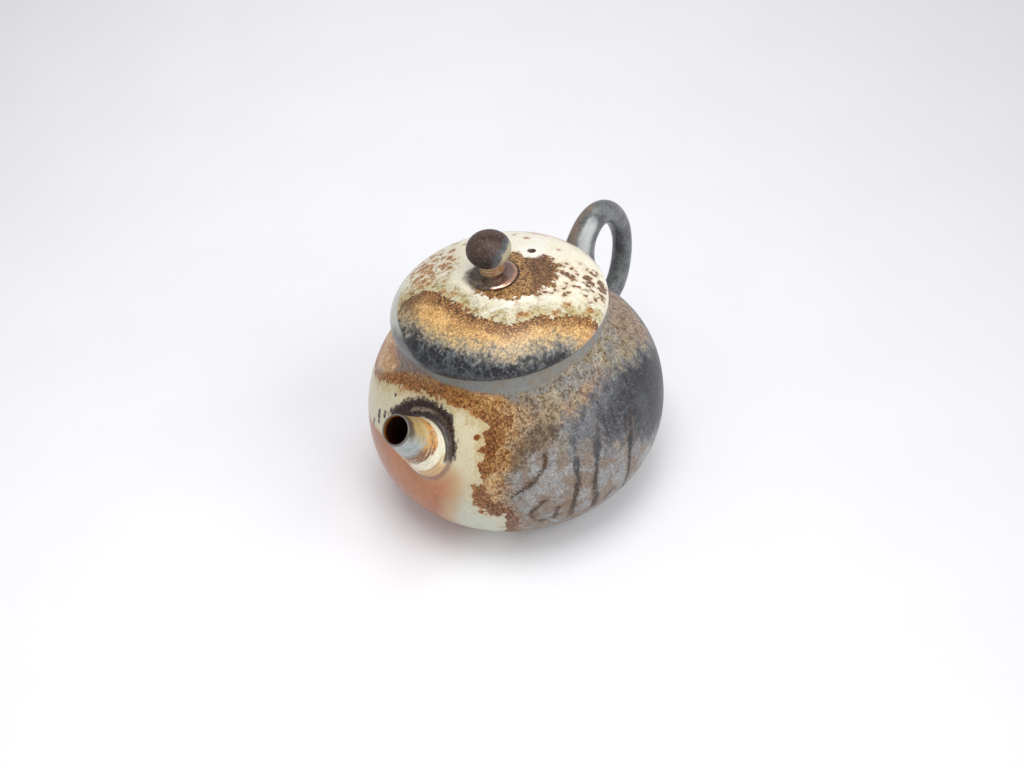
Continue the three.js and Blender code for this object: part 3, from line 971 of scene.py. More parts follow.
    drops: Rounds = (
        (23.2, 46.1, 0.8), (20.6, 50.6, 0.7), (25.6, 43.6, 0.8), (24.4, 39.9, 0.75), (18.8, 52.3, 0.9),
        (-25.2, 47.6, 0.35), (17.6, 48.4, 0.25), (-31.4, 40.4, 0.65), (-31, 39.4, 0.6), (-30.2, 38.2, 0.5),
        (-27, 42.2, 0.6), (-26.6, 41.2, 0.5), (-23.2, 44, 0.65), (-20.4, 45.8, 0.7), (-34.5, 36.5, 0.6),
        (-35, 35.2, 0.5), (22.3, 24.3, 0.8),
    )
    frost: Rounds = (
        (49, 34.3, 2.8), (57, 34.5, 1.8), (45, 37.9, 1.6), (51.5, 28.6, 1.8), (47, 31.3, 2.0), (41, 28.1, 2.0),
        (36, 32.3, 1.4), (70, 35.5, 1.6), (61, 24, 2.2), (77, 22, 2.0), (96, 20, 3),
    )
    wheat: Rounds = ((27, 35.3, 1.3), (28, 32.8, 1.6), (29, 29.6, 1.2), (29.3, 36.6, 1.0))
    dun: Rounds = (
        (50.5, 48.5, 2.6), (48, 50.2, 1.8), (54, 46.9, 1.8), (65.5, 47.7, 2.2), (58, 49, 1.2), (45, 52, 1.6),
    )

    def stamp(self, pot: Pot, skin: Skin, points: np.ndarray) -> None:
        """Give a skin the distances to every line.

        Args:
            pot: The pot that the lines lie on.
            skin: The pot's skin, or one that joins it.
            points: The skin's points, in millimetres.
        """
        azimuth = np.degrees(np.arctan2(points[:, 1], points[:, 0]))
        v = pot.arc(points[:, 2])
        v = np.where(points[:, 2] < 0.72, -np.abs(pot.base_radius - np.hypot(points[:, 0], points[:, 1])), v)
        scale = np.maximum(np.hypot(points[:, 0], points[:, 1]), 15) * math.pi / 180

        def to_arc(outline: Outline) -> np.ndarray:
            """Corners with their heights turned into lengths along the profile.

            Args:
                outline: The corners.

            Returns:
                The turned corners.
            """
            corners = np.array(outline, float)
            corners[:, 1] = np.where(corners[:, 1] < 0, corners[:, 1] * 8, pot.arc(corners[:, 1]))
            return corners

        zones = ("cream", "amber", "slate", "peach", "crescent", "smear", "shoulder", "neck_shade", "halo")
        for name in (*zones, "throat", "tan", "low"):
            corners = to_arc(getattr(self, name))
            value = outline_distance(azimuth, v, scale, corners, True)
            if corners[:, 0].max() > 180:
                value = np.maximum(value, outline_distance(azimuth + 360, v, scale, corners, True))
            skin.stamp(name, value)
        for name in ("thread", "groove"):
            skin.stamp(name, outline_distance(azimuth, v, scale, to_arc(getattr(self, name)), False))
        drips = [half + outline_distance(azimuth, v, scale, to_arc(line), False) for half, line in self.drips]
        skin.stamp("drip", np.max(drips, 0))
        for name, rounds in (("drop", self.drops), ("frost", self.frost), ("wheat", self.wheat), ("dun", self.dun)):
            skin.stamp(name, np.max([r - np.hypot((azimuth - a) * scale, v - pot.arc(z)) for a, z, r in rounds], 0))
        skin.stamp("proud", pot.height_over(points))
        skin.stamp("lee", smooth(-8, 6, azimuth))
        skin.stamp("east", np.where(azimuth > -130, np.clip(azimuth, -60, 150), 150))
        east = smooth(18, 34, azimuth) * (1 - smooth(50, 54, points[:, 2]))
        skin.stamp("loose", east + smooth(-70, -100, azimuth))


@dataclass(frozen=True)
class LidEffects:
    """Lines of the kiln effects on the lid, in millimetres from its centre."""

    band: Outline = (
        (18.3, -20.2), (16, -19.8), (13, -17.6), (11.3, -14.8), (11.1, -11.6), (12.3, -7.3), (13, -3.4),
        (14, -0.3), (14.3, 2.5), (14.7, 5.5), (13.6, 8.5), (13.3, 11.5), (12.5, 14.1), (10.5, 15.9), (8, 17.4),
        (5.9, 19.1), (4.5, 21.2), (2.5, 22.9), (0.3, 24.5), (-1.5, 26.3), (-3.4, 28.1), (-9, 34), (40, 34),
        (40, -32), (19, -32), (18.5, -24),
    )
    ash: Outline = (
        (21.5, -20), (22.4, -16.9), (23.7, -14.8), (24.1, -11.1), (25.2, -7.5), (25.8, -3.6), (25.7, 0.4),
        (25.5, 3.5), (25.1, 6.5), (24.6, 9.4), (24.2, 12.2), (23.3, 14.8), (22.2, 17.1), (20.6, 19.1),
        (18.9, 21.1), (16.8, 22.8), (14.7, 24.5), (12.2, 25.9), (9.7, 27.3), (7.6, 28.8), (5, 34), (40, 34),
        (40, -30), (25, -30),
    )
    patch: Outline = (
        (2.2, -7.6), (6.2, -5.4), (7.9, 0), (8.6, 3.5), (7.7, 6.1), (7, 8.9), (5.3, 10.9), (3.8, 11.4),
        (2, 13.4), (-0.2, 14.4), (-2.9, 14.8), (-5, 15.6), (-7.4, 15.2), (-9.8, 14.8), (-12.7, 11.5), (-15, 9),
        (-15.2, 6.2), (-13.9, 3.9), (-11.9, 2), (-12.6, -0.9), (-11.3, -1.9), (-8.6, -2.3), (-4, -4),
    )
    heart: Outline = (
        (-11.5, 3.3), (-14.8, 6.5), (-13.7, 10.5), (-9.3, 14.2), (-5, 14.9), (-1.4, 14.2), (-1.7, 11.5),
        (-6.4, 7.6),
    )
    scatter: Outline = (
        (-11, 12.5), (-15, 12), (-19, 16), (-21, 20.4), (-16.6, 25.5), (-8, 27.5), (-4, 23), (-5, 16.5),
    )
    flecks: Outline = (
        (4.5, -29), (-8, -28), (-7, -22), (-3.4, -16.5), (0, -12.5), (3, -11.5), (6, -14), (9.5, -17),
        (12, -20), (10, -25),
    )
    lip: Outline = (
        (-180, 24.8), (-162, 24.0), (-147, 24.5), (-130, 26.0), (-112, 28.6), (-85, 27.9), (-60, 26.8),
        (-52, 27.1), (-44, 27.5), (-28, 28.3), (-19, 29.2), (-11, 29.9), (-3, 30.4), (78, 30.4), (92, 29.6),
        (135, 29.5), (150, 28.4), (166, 26.3), (180, 24.8),
    )
    streak: Outline = ((13.4, 6.1), (10.5, 8.1), (7.2, 10.6), (4.3, 11.8), (0.4, 15.4))
    rusty: Rounds = (
        (-6.2, -19.2, 0.95), (-2.5, -16.9, 1.04), (-1.7, -15, 0.78), (0.9, -16.7, 0.78), (2.2, -13.9, 0.78),
        (-4.9, -23.3, 0.60), (-3.4, -24.2, 0.86), (-1.1, -21.7, 0.86), (-2.6, -24.3, 0.60), (0.8, -24.1, 0.95),
        (1.9, -21.6, 0.95), (2.8, -19.7, 0.78), (2.8, -22.9, 0.78), (3.9, -23, 0.86), (4.4, -23.8, 0.69),
        (4.6, -20.6, 0.86), (4.7, -18.7, 0.86), (6.5, -20.7, 0.78), (7.8, -18, 0.95), (8.8, -18, 0.86),
        (9.1, -15.7, 0.78), (10.4, -17.3, 0.69), (7.3, -11.5, 0.51), (-10.1, -17.8, 0.60), (-14.4, -22.6, 0.51),
        (-10.8, -21.7, 0.69), (-10.2, -22.5, 0.51), (10.9, -9.1, 0.69), (10.9, -5.8, 0.78), (13.2, -2.5, 0.69),
        (13.6, -1.1, 0.86), (14.1, 1.4, 0.86), (13.4, -6.3, 0.60), (-20.5, -8.1, 0.51), (-20.2, -3.7, 0.69),
        (-1.9, 22.2, 0.69), (-5.2, 26.9, 0.86), (8.4, 14.8, 0.78), (7.7, 16.2, 0.86), (5.7, 19.7, 0.86),
        (4.8, 20.9, 0.51), (2.9, 21.7, 0.69), (-0.7, 26, 0.60), (-1.9, 27.3, 0.51), (5.6, 11.5, 0.44),
        (-20, 7.1, 0.44),
    )
    brown: Rounds = (
        (-14.5, 15.5, 0.53), (-11.2, 14.6, 0.81), (-11.6, 16, 0.90), (-11.5, 17.3, 1.08), (-11, 18.3, 0.81),
        (-13.4, 17.5, 0.62), (-15.4, 12.9, 0.53), (-13.3, 12.2, 0.90), (-13.7, 13.4, 0.53), (-17.6, 17.9, 0.59),
        (-17.8, 19.1, 0.72), (-17.8, 20.1, 0.72), (-19.4, 19.8, 0.40), (-13.9, 19.5, 0.62), (-14.8, 20.3, 1.26),
        (-14, 21.6, 1.08), (-12.2, 22, 0.72), (-17, 22.6, 0.81), (-16, 23.7, 1.17), (-14.3, 24.3, 0.99),
        (-15, 24.9, 0.68), (-12.6, 25.8, 0.72), (-11.8, 26.5, 0.49), (-9.6, 25.7, 0.62), (-11.4, 23.9, 0.62),
        (-8.4, 23.8, 0.72), (-18.8, 15.3, 0.36), (-8.8, 19.8, 0.62), (-9.5, 20.8, 0.53), (-8.1, 17.8, 0.53),
        (-6.4, 18.7, 0.62), (-5.6, 20, 0.49), (-4.1, 19.9, 0.62), (-4.3, 18, 0.40), (-4.1, 17.2, 0.40),
        (-2.4, 17.2, 0.36), (-4.9, 16.2, 0.49), (-1.6, 15.6, 0.53), (0.3, 14.8, 0.81),
    )

    def stamp(self, lid: Lid, skin: Skin, points: np.ndarray) -> None:
        """Give the lid the distances to every line.

        Args:
            lid: The lid.
            skin: Its skin.
            points: Its points, in millimetres.
        """
        x, y, one = points[:, 0], points[:, 1], np.ones(len(points))
        for name in ("band", "ash", "patch", "heart", "scatter", "flecks"):
            skin.stamp(name, outline_distance(x, y, one, np.array(getattr(self, name), float), True))
        skin.stamp("streak", outline_distance(x, y, one, np.array(self.streak, float), False))
        for name in ("rusty", "brown"):
            skin.stamp(name, np.max([r - np.hypot(x - a, y - b) for a, b, r in getattr(self, name)], 0))
        azimuth = math.radians(lid.vent_azimuth)
        vent = np.hypot(x - lid.vent_radius * math.cos(azimuth), y - lid.vent_radius * math.sin(azimuth))
        skin.stamp("vent", vent)
        skin.stamp("hub", np.hypot(x, y))
        skin.stamp("west", 0.88 * y - 0.48 * x)
        limits = np.array(self.lip, float)
        bearing = np.degrees(np.arctan2(y, x))
        skin.stamp("lip", np.hypot(x, y) - np.interp(bearing, limits[:, 0], limits[:, 1]))


# ---------------------------------------------------------------- finishes

Colour = tuple[float, float, float]


def tint(red: int, green: int, blue: int) -> Colour:
    """Scene-linear colour of a painter's 0 to 255 colour."""
    shares = (c / 255 for c in (red, green, blue))
    return tuple(c / 12.92 if c <= 10 / 255 else ((c + 0.055) / 1.055) ** 2.4 for c in shares)


class Tone:
    """A number or a colour on its way to the shader, with the ways to work on it."""

    def __init__(self, bench: GlazeBench, socket: bpy.types.NodeSocket) -> None:
        """Hold the socket that gives the value."""
        self.bench, self.socket = bench, socket

    def __add__(self, other: Tone | float) -> Tone:
        """The sum."""
        return self.bench.join("ADD", self, other)

    def __sub__(self, other: Tone | float) -> Tone:
        """The difference."""
        return self.bench.join("SUBTRACT", self, other)

    def __rsub__(self, other: float) -> Tone:
        """What is left of a number."""
        return self.bench.join("SUBTRACT", other, self)

    def __mul__(self, other: Tone | float) -> Tone:
        """The product."""
        return self.bench.join("MULTIPLY", self, other)

    def __abs__(self) -> Tone:
        """The size without its sign."""
        return self.bench.join("ABSOLUTE", self, 0.0)

    def larger(self, other: Tone) -> Tone:
        """The larger of the two."""
        return self.bench.join("MAXIMUM", self, other)

    def sine(self) -> Tone:
        """The sine of an angle in radians."""
        return self.bench.join("SINE", self, 0.0)

    def about(self, reach: float) -> Tone:
        """Noise moved to swing about 0 by a reach to either side.

        Args:
            reach: The reach.

        Returns:
            The moved noise.
        """
        node = self.bench.add("ShaderNodeMath", operation="MULTIPLY_ADD")
        self.bench.feed(node.inputs[0], self)
        node.inputs[1].default_value = 4 * reach
        node.inputs[2].default_value = -2 * reach
        return Tone(self.bench, node.outputs[0])

    def rise(self, low: float, high: float, top: float = 1.0, bottom: float = 0.0) -> Tone:
        """Ease the number between two values.

        Args:
            low: Number that gives the bottom.
            high: Number that gives the top, which may be the smaller one.
            top: Value there.
            bottom: Value at the other end.

        Returns:
            The eased number.
        """
        node = self.bench.add("ShaderNodeMapRange", interpolation_type="SMOOTHSTEP")
        self.bench.feed(node.inputs["Value"], self)
        for key, value in (("From Min", low), ("From Max", high), ("To Min", bottom), ("To Max", top)):
            node.inputs[key].default_value = value
        return Tone(self.bench, node.outputs["Result"])

    def mix(self, under: Tone | Colour | float, over: Tone | Colour | float) -> Tone:
        """Lay one colour over another, by this share.

        Args:
            under: Colour where the share is 0.
            over: Colour where it is 1.

        Returns:
            The mixed colour.
        """
        node = self.bench.add("ShaderNodeMix", data_type="RGBA", blend_type="MIX")
        for number, value in ((0, self), (6, under), (7, over)):
            self.bench.feed(node.inputs[number], value)
        return Tone(self.bench, node.outputs[2])

    def dapple(self, low: float, high: float, first: Tone | Colour, second: Tone | Colour) -> Tone:
        """Pass from one colour to another as the number rises."""
        return self.rise(low, high).mix(first, second)

    def shade(self, colour: Tone | Colour, dark: float, light: float) -> Tone:
        """Darken and lighten a colour by this noise.

        Args:
            colour: The colour.
            dark: Factor at the noise's high end.
            light: Factor at its low end.

        Returns:
            The grained colour.
        """
        node = self.bench.add("ShaderNodeVectorMath", operation="SCALE")
        self.bench.feed(node.inputs[0], colour)
        self.bench.feed(node.inputs["Scale"], self.rise(0.34, 0.66, light, dark))
        return Tone(self.bench, node.outputs[0])


class GlazeBench:
    """The node tree of one finish, with short ways to add to it."""

    def __init__(self, name: str) -> None:
        """Start a material.

        Args:
            name: Name of the finish.
        """
        self.material = bpy.data.materials.new(name)
        self.material.use_nodes = True
        self.tree = self.material.node_tree
        self.shader = self.tree.nodes["Principled BSDF"]
        self.place = Tone(self, self.add("ShaderNodeTexCoord").outputs["Object"])

    def add(self, kind: str, **settings: object) -> bpy.types.Node:
        """Add a node.

        Args:
            kind: Its kind.
            settings: Its settings.

        Returns:
            The node.
        """
        node = self.tree.nodes.new(kind)
        for key, value in settings.items():
            setattr(node, key, value)
        return node

    def feed(self, socket: bpy.types.NodeSocket, value: Tone | Colour | float) -> None:
        """Link a socket, or set a number or colour on it.

        Args:
            socket: The socket.
            value: What it gets.
        """
        if isinstance(value, Tone):
            self.tree.links.new(value.socket, socket)
        elif isinstance(value, tuple) and len(socket.default_value) == 4:
            socket.default_value = (*value, 1)
        else:
            socket.default_value = value

    def join(self, how: str, first: Tone | float, second: Tone | float) -> Tone:
        """Work out a number from two others.

        Args:
            how: The operation.
            first: First number.
            second: Second number.

        Returns:
            The result.
        """
        node = self.add("ShaderNodeMath", operation=how)
        self.feed(node.inputs[0], first)
        self.feed(node.inputs[1], second)
        return Tone(self, node.outputs[0])

    def gauge(self, how: str, place: Tone, other: Colour = (0, 0, 0)) -> Tone:
        """Measure a vector, alone or against another.

        Args:
            how: The operation.
            place: The vector.
            other: The other vector.

        Returns:
            The number.
        """
        node = self.add("ShaderNodeVectorMath", operation=how)
        self.feed(node.inputs[0], place)
        node.inputs[1].default_value = other
        return Tone(self, node.outputs["Value"])

    def mark(self, name: str) -> Tone:
        """The number that the mesh keeps under a name."""
        return Tone(self, self.add("ShaderNodeAttribute", attribute_name=name).outputs["Fac"])

    def axis(self, name: str) -> Tone:
        """Place along one of the object's axes, in millimetres.

        Args:
            name: X, Y or Z.

        Returns:
            The place.
        """
        split = self.add("ShaderNodeSeparateXYZ")
        self.feed(split.inputs[0], self.place)
        return Tone(self, split.outputs[name]) * (1 / MM)

    def noise(
        self,
        size: float,
        detail: float = 3,
        rough: float = 0.5,
        stretch: Colour = (1, 1, 1),
        shift: Colour = (0, 0, 0),
        curl: float = 0.0,
        where: Tone | None = None,
    ) -> Tone:
        """Cloudy noise about 0.5.

        Args:
            size: Size of its features, in millimetres.
            detail: Octaves.
            rough: Weight of the finer octaves.
            stretch: Factors on the object's own coordinates; below 1 the noise is drawn out.
            shift: Shift of those coordinates, in metres.
            curl: Distortion.
            where: Other coordinates.

        Returns:
            The noise.
        """
        place = where or self.place
        if stretch != (1, 1, 1) or shift != (0, 0, 0):
            moved = self.add("ShaderNodeMapping")
            self.feed(moved.inputs["Vector"], place)
            moved.inputs["Scale"].default_value = stretch
            moved.inputs["Location"].default_value = shift
            place = Tone(self, moved.outputs[0])
        node = self.add("ShaderNodeTexNoise")
        self.feed(node.inputs["Vector"], place)
        settings = {"Scale": 1 / (size * MM), "Detail": detail, "Roughness": rough, "Distortion": curl}
        for key, value in settings.items():
            node.inputs[key].default_value = value
        return Tone(self, node.outputs["Fac"])

    def weave(self) -> None:
        """Lay out the noises and the height that a whole glaze shares."""
        self.fine = self.noise(0.5, 2, 0.6)
        self.grain = self.noise(0.85, 3, 0.62)
        self.clump = self.noise(1.5, 3, 0.6, shift=(0.1, 0.2, 0.6))
        self.mottle = self.noise(2.0, 4, 0.62, curl=0.5)
        self.patchy = self.noise(3.2, 4, 0.6, stretch=(1, 1, 0.8), shift=(0.1, 0.4, 0))
        self.cloud = self.noise(7, 4, 0.55, curl=0.4)
        self.height = self.axis("Z")

    def finish(self, colour: Tone, rough: Tone, relief: Tone, depth: float) -> bpy.types.Material:
        """Join colour, roughness and relief to the shader.

        Args:
            colour: Base colour.
            rough: Roughness.
            relief: Relief from 0 to 1.
            depth: Its depth in millimetres.

        Returns:
            The material.
        """
        self.feed(self.shader.inputs["Base Color"], colour)
        self.feed(self.shader.inputs["Roughness"], rough)
        bump = self.add("ShaderNodeBump")
        bump.inputs["Strength"].default_value = 1.0
        bump.inputs["Distance"].default_value = depth * MM
        self.feed(bump.inputs["Height"], relief)
        self.feed(self.shader.inputs["Normal"], Tone(self, bump.outputs[0]))
        return self.material


@dataclass(frozen=True)
class PotGlaze:
    """The pot's glaze: cream, amber and rust round the spout, slate and drips on the far side."""

    cream: Colour = tint(208, 199, 169)
    celadon: Colour = tint(192, 195, 181)
    straw: Colour = tint(186, 162, 114)
    amber: Colour = tint(172, 124, 64)
    gold: Colour = tint(206, 168, 114)
    rust: Colour = tint(112, 66, 30)
    umber: Colour = tint(78, 42, 18)
    beige: Colour = tint(149, 135, 110)
    stone: Colour = tint(131, 128, 122)
    chalk: Colour = tint(180, 174, 160)
    earth: Colour = tint(92, 70, 48)
    clay: Colour = tint(129, 115, 103)
    mist: Colour = tint(137, 137, 137)
    cinnamon: Colour = tint(117, 86, 61)
    bark: Colour = tint(87, 70, 56)
    slate: Colour = tint(68, 69, 74)
    pewter: Colour = tint(100, 102, 107)
    night: Colour = tint(40, 41, 44)
    peach: Colour = tint(192, 129, 90)
    terracotta: Colour = tint(160, 95, 58)
    plum: Colour = tint(37, 25, 22)
    heather: Colour = tint(65, 50, 47)
    drip: Colour = tint(56, 42, 34)
    neck: Colour = tint(132, 135, 133)
    neck_shade: Colour = tint(120, 102, 94)
    fawn: Colour = tint(212, 176, 138)
    sand: Colour = tint(182, 136, 98)
    biscuit: Colour = tint(208, 194, 172)
    hollow: Colour = tint(206, 202, 184)
    dun: Colour = tint(146, 120, 92)
    rose: Colour = tint(157, 132, 109)
    rose_dark: Colour = tint(109, 85, 70)
    tawny: Colour = tint(164, 130, 98)
    tawny_dark: Colour = tint(120, 84, 56)
    tinge: Colour = tint(130, 106, 86)
    frost: Colour = tint(150, 150, 149)
    ash: Colour = tint(127, 126, 127)
    haze: Colour = tint(104, 106, 112)
    smear: Colour = tint(112, 92, 72)
    smear_dark: Colour = tint(76, 58, 44)
    run: Colour = tint(74, 54, 38)
    run_fleck: Colour = tint(96, 76, 60)
    ochre: Colour = tint(172, 142, 108)
    ochre_dark: Colour = tint(106, 80, 56)
    net: Colour = tint(174, 138, 112)
    net_dark: Colour = tint(106, 70, 50)
    copper: Colour = tint(166, 114, 68)
    bronze: Colour = tint(128, 86, 60)
    bronze_dark: Colour = tint(80, 48, 34)
    wheat: Colour = tint(192, 164, 122)
    flush: Colour = tint(166, 104, 66)
    apricot: Colour = tint(189, 146, 99)
    groove: Colour = tint(129, 86, 74)
    blot: Colour = tint(168, 118, 62)
    blot_dark: Colour = tint(118, 66, 28)
    dust: Colour = tint(112, 98, 88)
    silver: Colour = tint(146, 130, 112)
    neck_brown: Colour = tint(134, 120, 102)
    biscuit_dark: Colour = tint(176, 156, 130)
    hollow_fleck: Colour = tint(170, 150, 118)

    def ground(self, m: GlazeBench) -> Tone:
        """Lay the mottled ground of the far side with its warm zones.

        Args:
            m: The finish being made.

        Returns:
            The colour.
        """
        wash = m.noise(5.0, 3, 0.5, shift=(0.4, 0.7, 0.2), curl=0.3)
        specks = m.grain * 0.55 + m.mottle * 0.45
        ground = wash.dapple(0.42, 0.6, self.beige, self.stone)
        ground = m.patchy.rise(0.5, 0.64, 0.6).mix(ground, self.chalk)
        ground = specks.rise(0.49, 0.59, 0.85).mix(ground, self.earth)
        brown = (m.mark("dun") + m.patchy.about(2.5)).rise(-2.5, 1.0, 0.75)
        ground = brown.mix(ground, specks.dapple(0.44, 0.58, self.dun, self.earth))
        warm = (m.mark("shoulder") + m.cloud.about(3)).rise(-3, 3, 0.85)
        rosy = specks.dapple(0.44, 0.6, self.rose, self.rose_dark)
        ground = warm.mix(ground, rosy)
        tawny = (m.mark("halo") + m.patchy.about(2.4)).rise(-1.8, 1.8, 0.6)
        return tawny.mix(ground, specks.dapple(0.44, 0.58, self.tawny, self.tawny_dark))

    def veil(self, m: GlazeBench, ground: Tone) -> Tone:
        """Lay the misty zone under the slate, with faint rusty veins, over the ground.

        Args:
            m: The finish being made.
            ground: What lies under it.

        Returns:
            The colour.
        """
        wash = m.noise(4.6, 3, 0.5, shift=(0.7, 0.2, 0.5), curl=0.4)
        veil = wash.dapple(0.44, 0.56, self.clay, self.mist)
        vein = m.noise(4.2, 3, 0.55, stretch=(1, 1, 0.7), shift=(0.2, 0.9, 0.1), curl=1.0)
        vein = abs(vein - 0.5)
        vein = vein.rise(0.04, 0.006) * (m.patchy + m.grain.about(0.03)).rise(0.46, 0.58, 0.75)
        veil = vein.mix(veil, self.cinnamon)
        tinged = m.cloud.rise(0.48, 0.64) * m.mottle.rise(0.42, 0.62, 0.4)
        veil = tinged.mix(veil, self.tinge)
        veil = (m.grain * 0.6 + m.clump * 0.4).rise(0.55, 0.66, 0.32).mix(veil, self.bark)
        icy = (m.mark("frost") + m.mottle.about(1.8)).rise(-1.4, 1.0, 0.8)
        veil = (icy * m.grain.rise(0.64, 0.46, 1.0, 0.6)).mix(veil, self.frost)
        low = (m.mark("low") + m.patchy.about(2.5)).rise(-2.5, 2.5)
        return low.mix(ground, veil)

    def smoke(self, m: GlazeBench, ground: Tone) -> Tone:
        """Lay the slate cloud, the brown smear and the drips over the ground.

        Args:
            m: The finish being made.
            ground: What lies under them.

        Returns:
            The colour.
        """
        streaky = m.noise(2.2, 3, 0.6, stretch=(1, 1, 0.25), shift=(0.5, 0.2, 0.3))
        far = m.mark("east").rise(74, 100)
        slate = (m.cloud + far * -0.12).dapple(0.36, 0.56, self.slate, self.pewter)
        slate = (streaky * 0.5 + m.mottle * 0.5).rise(0.5, 0.6, 0.7).mix(slate, self.night)
        slate = m.grain.rise(0.54, 0.66, 0.6).mix(slate, self.ash)
        inside = m.mark("slate") + m.patchy.about(2.8) + m.grain.about(1.6)
        inside = inside + (streaky.about(1.8) + m.cloud.about(1.6))
        slate = (far * 0.55).mix(slate, self.night)
        colour = inside.rise(-4.6, 0.4, 0.6).mix(ground, self.haze)
        colour = inside.rise(-2.4, 2.6, 0.96).mix(colour, slate)

        smear = m.mark("smear") + m.patchy.about(1.0) + m.grain.about(0.9)
        smoky = (m.mottle * 0.5 + m.grain * 0.5).dapple(0.42, 0.58, self.smear, self.smear_dark)
        colour = smear.rise(-1.5, 1.0, 0.88).mix(colour, smoky)

        drip = m.mark("drip") + m.patchy.about(0.6) + m.grain.about(0.5)
        rusty = (drip + m.patchy.about(1.6)).rise(-2.4, -0.2) * m.mottle.rise(0.44, 0.58, 0.35)
        colour = rusty.mix(colour, self.cinnamon)
        core = drip.rise(-0.65, 0.3) * m.clump.rise(0.32, 0.48, 1.0, 0.5)
        ink = m.height.dapple(35, 27, self.slate, self.drip)
        ink = m.mark("east").rise(50, 62).mix(self.run, ink)
        ink = m.mark("east").rise(74, 80).mix(ink, self.night)
        return core.mix(colour, m.grain.rise(0.52, 0.66, 0.5).mix(ink, self.run_fleck))

    def fire(self, m: GlazeBench, edge: Tone, ground: Tone) -> Tone:
        """Lay amber and rust round the cream.

        Args:
            m: The finish being made.
            edge: Distance into the cream.
            ground: What lies under them.

        Returns:
            The colour.
        """
        loose = m.mark("loose") * (m.patchy.about(2.2) + m.grain.about(1.3))
        inside = m.mark("amber") + m.clump.about(0.5) + loose
        dark = m.grain * 0.25 + (m.clump * 0.4 + m.patchy * 0.35)
        honey = dark.rise(0.46, 0.56, 0.95).mix(self.amber, self.rust)
        bright = (m.fine * 0.5 + m.mottle * 0.5).rise(0.49, 0.6)
        honey = (bright * (m.cloud + m.mark("loose") * 0.12).rise(0.45, 0.6, 0.85, 0.2)).mix(honey, self.gold)
        tawny = m.grain.dapple(0.44, 0.56, self.ochre, self.ochre_dark)
        out = (edge + m.patchy.about(5)).rise(-3.6, -8.0, 0.9) * m.mark("loose")
        honey = out.mix(honey, tawny)
        net = m.grain.dapple(0.45, 0.55, self.net, self.net_dark)
        low = (m.height + m.cloud.about(4)).rise(40, 33, 0.88) * m.mark("loose")
        honey = low.mix(honey, net)
        reach = inside * (1.0 - m.mark("loose") * 0.66)
        colour = (reach + m.mark("loose") * 0.45).rise(-0.9, 1.1, 0.97).mix(ground, honey)
        near = (m.grain * 0.5 + m.mottle * 0.5).dapple(0.44, 0.58, self.rust, self.umber)
        near = m.mark("loose").mix(m.grain.dapple(0.4, 0.58, self.copper, self.rust), near)
        near = m.fine.rise(0.54, 0.66, 0.6).mix(near, self.amber)
        near = low.mix(near, m.grain.dapple(0.42, 0.58, self.bronze, self.bronze_dark))
        rusty = (edge + (m.patchy.about(2.4) + m.clump.about(1.0))).rise(-6.4, -1.6)
        colour = (rusty * inside.rise(-0.9, 0.6)).mix(colour, near)
        wheat = (m.mark("wheat") + m.clump.about(1.0)).rise(-0.7, 0.3, 0.8)
        colour = wheat.mix(colour, m.grain.dapple(0.46, 0.6, self.wheat, self.amber))
        return (m.fine * 0.6 + m.clump * 0.4).shade(colour, 0.8, 1.2)

    def pale(self, m: GlazeBench, edge: Tone) -> Tone:
        """Lay the cream with its peach flush, the dark crescent and the marks round the spout.

        Args:
            m: The finish being made.
            edge: Distance into the cream.

        Returns:
            The colour.
        """
        pale = (m.height + m.cloud.about(6)).dapple(36, 22, self.cream, self.celadon)
        pale = (m.fine * 0.5 + m.mottle * 0.5).rise(0.5, 0.62, 0.4).mix(pale, self.straw)
        hem = (edge + m.clump.about(1.2)).rise(3.2, 0.2, 0.8) * m.height.rise(36, 46, 1.0, 0.5)
        pale = hem.mix(pale, self.straw)
        side = m.mark("lee")
        blush = (m.mark("peach") + m.cloud.about(1.0) * side).rise(-0.8, 0.8)
        blush = side.mix(blush, (m.mark("peach") + m.cloud.about(1.0)).rise(-2.0, 4.0))
        flash = (m.height + m.cloud.about(5)).dapple(38, 14, self.peach, self.terracotta)
        flash = m.mark("east").rise(-6, -34).mix(flash, self.flush)
        pale = (m.mark("peach").rise(-5.5, -0.5, 0.75) * side).mix(pale, self.apricot)
        pale = blush.mix(pale, m.mottle.shade(flash, 0.93, 1.06))
        groove = (m.mark("groove") + m.patchy.about(0.3)).rise(-1.3, -0.2, 0.75)
        pale = groove.mix(pale, self.groove)
        drop = m.mark("drop") + m.clump.about(0.4) + m.grain.about(0.3)
        blot = drop.dapple(-0.1, 0.3, self.blot, self.blot_dark)
        pale = drop.rise(-0.4, 0.1).mix(pale, m.mark("lee").mix(self.plum, blot))
        rays = m.noise(0.9, 2, 0.5, stretch=(1, 1, 0.35), shift=(0.3, 0.1, 0.7))
        moon = m.mark("crescent") + rays.about(0.9) + (m.fine.about(0.5) + m.clump.about(0.4))
        dusty = rays * 0.5 + m.fine * 0.5
        night = dusty.dapple(0.44, 0.6, self.plum, self.heather)
        night = (m.mark("crescent").rise(1.2, 0.0) * dusty.rise(0.48, 0.6, 0.8)).mix(night, self.dust)
        silver = (m.mark("thread") + (m.fine.about(0.4) + m.clump.about(0.3))).rise(-0.8, 0.0, 0.8)
        silver = silver * m.mark("lee").rise(1.0, 0.3, 1.0, 0.25)
        night = silver.mix(night, self.silver)
        return moon.rise(-0.8, 0.35).mix(pale, night)

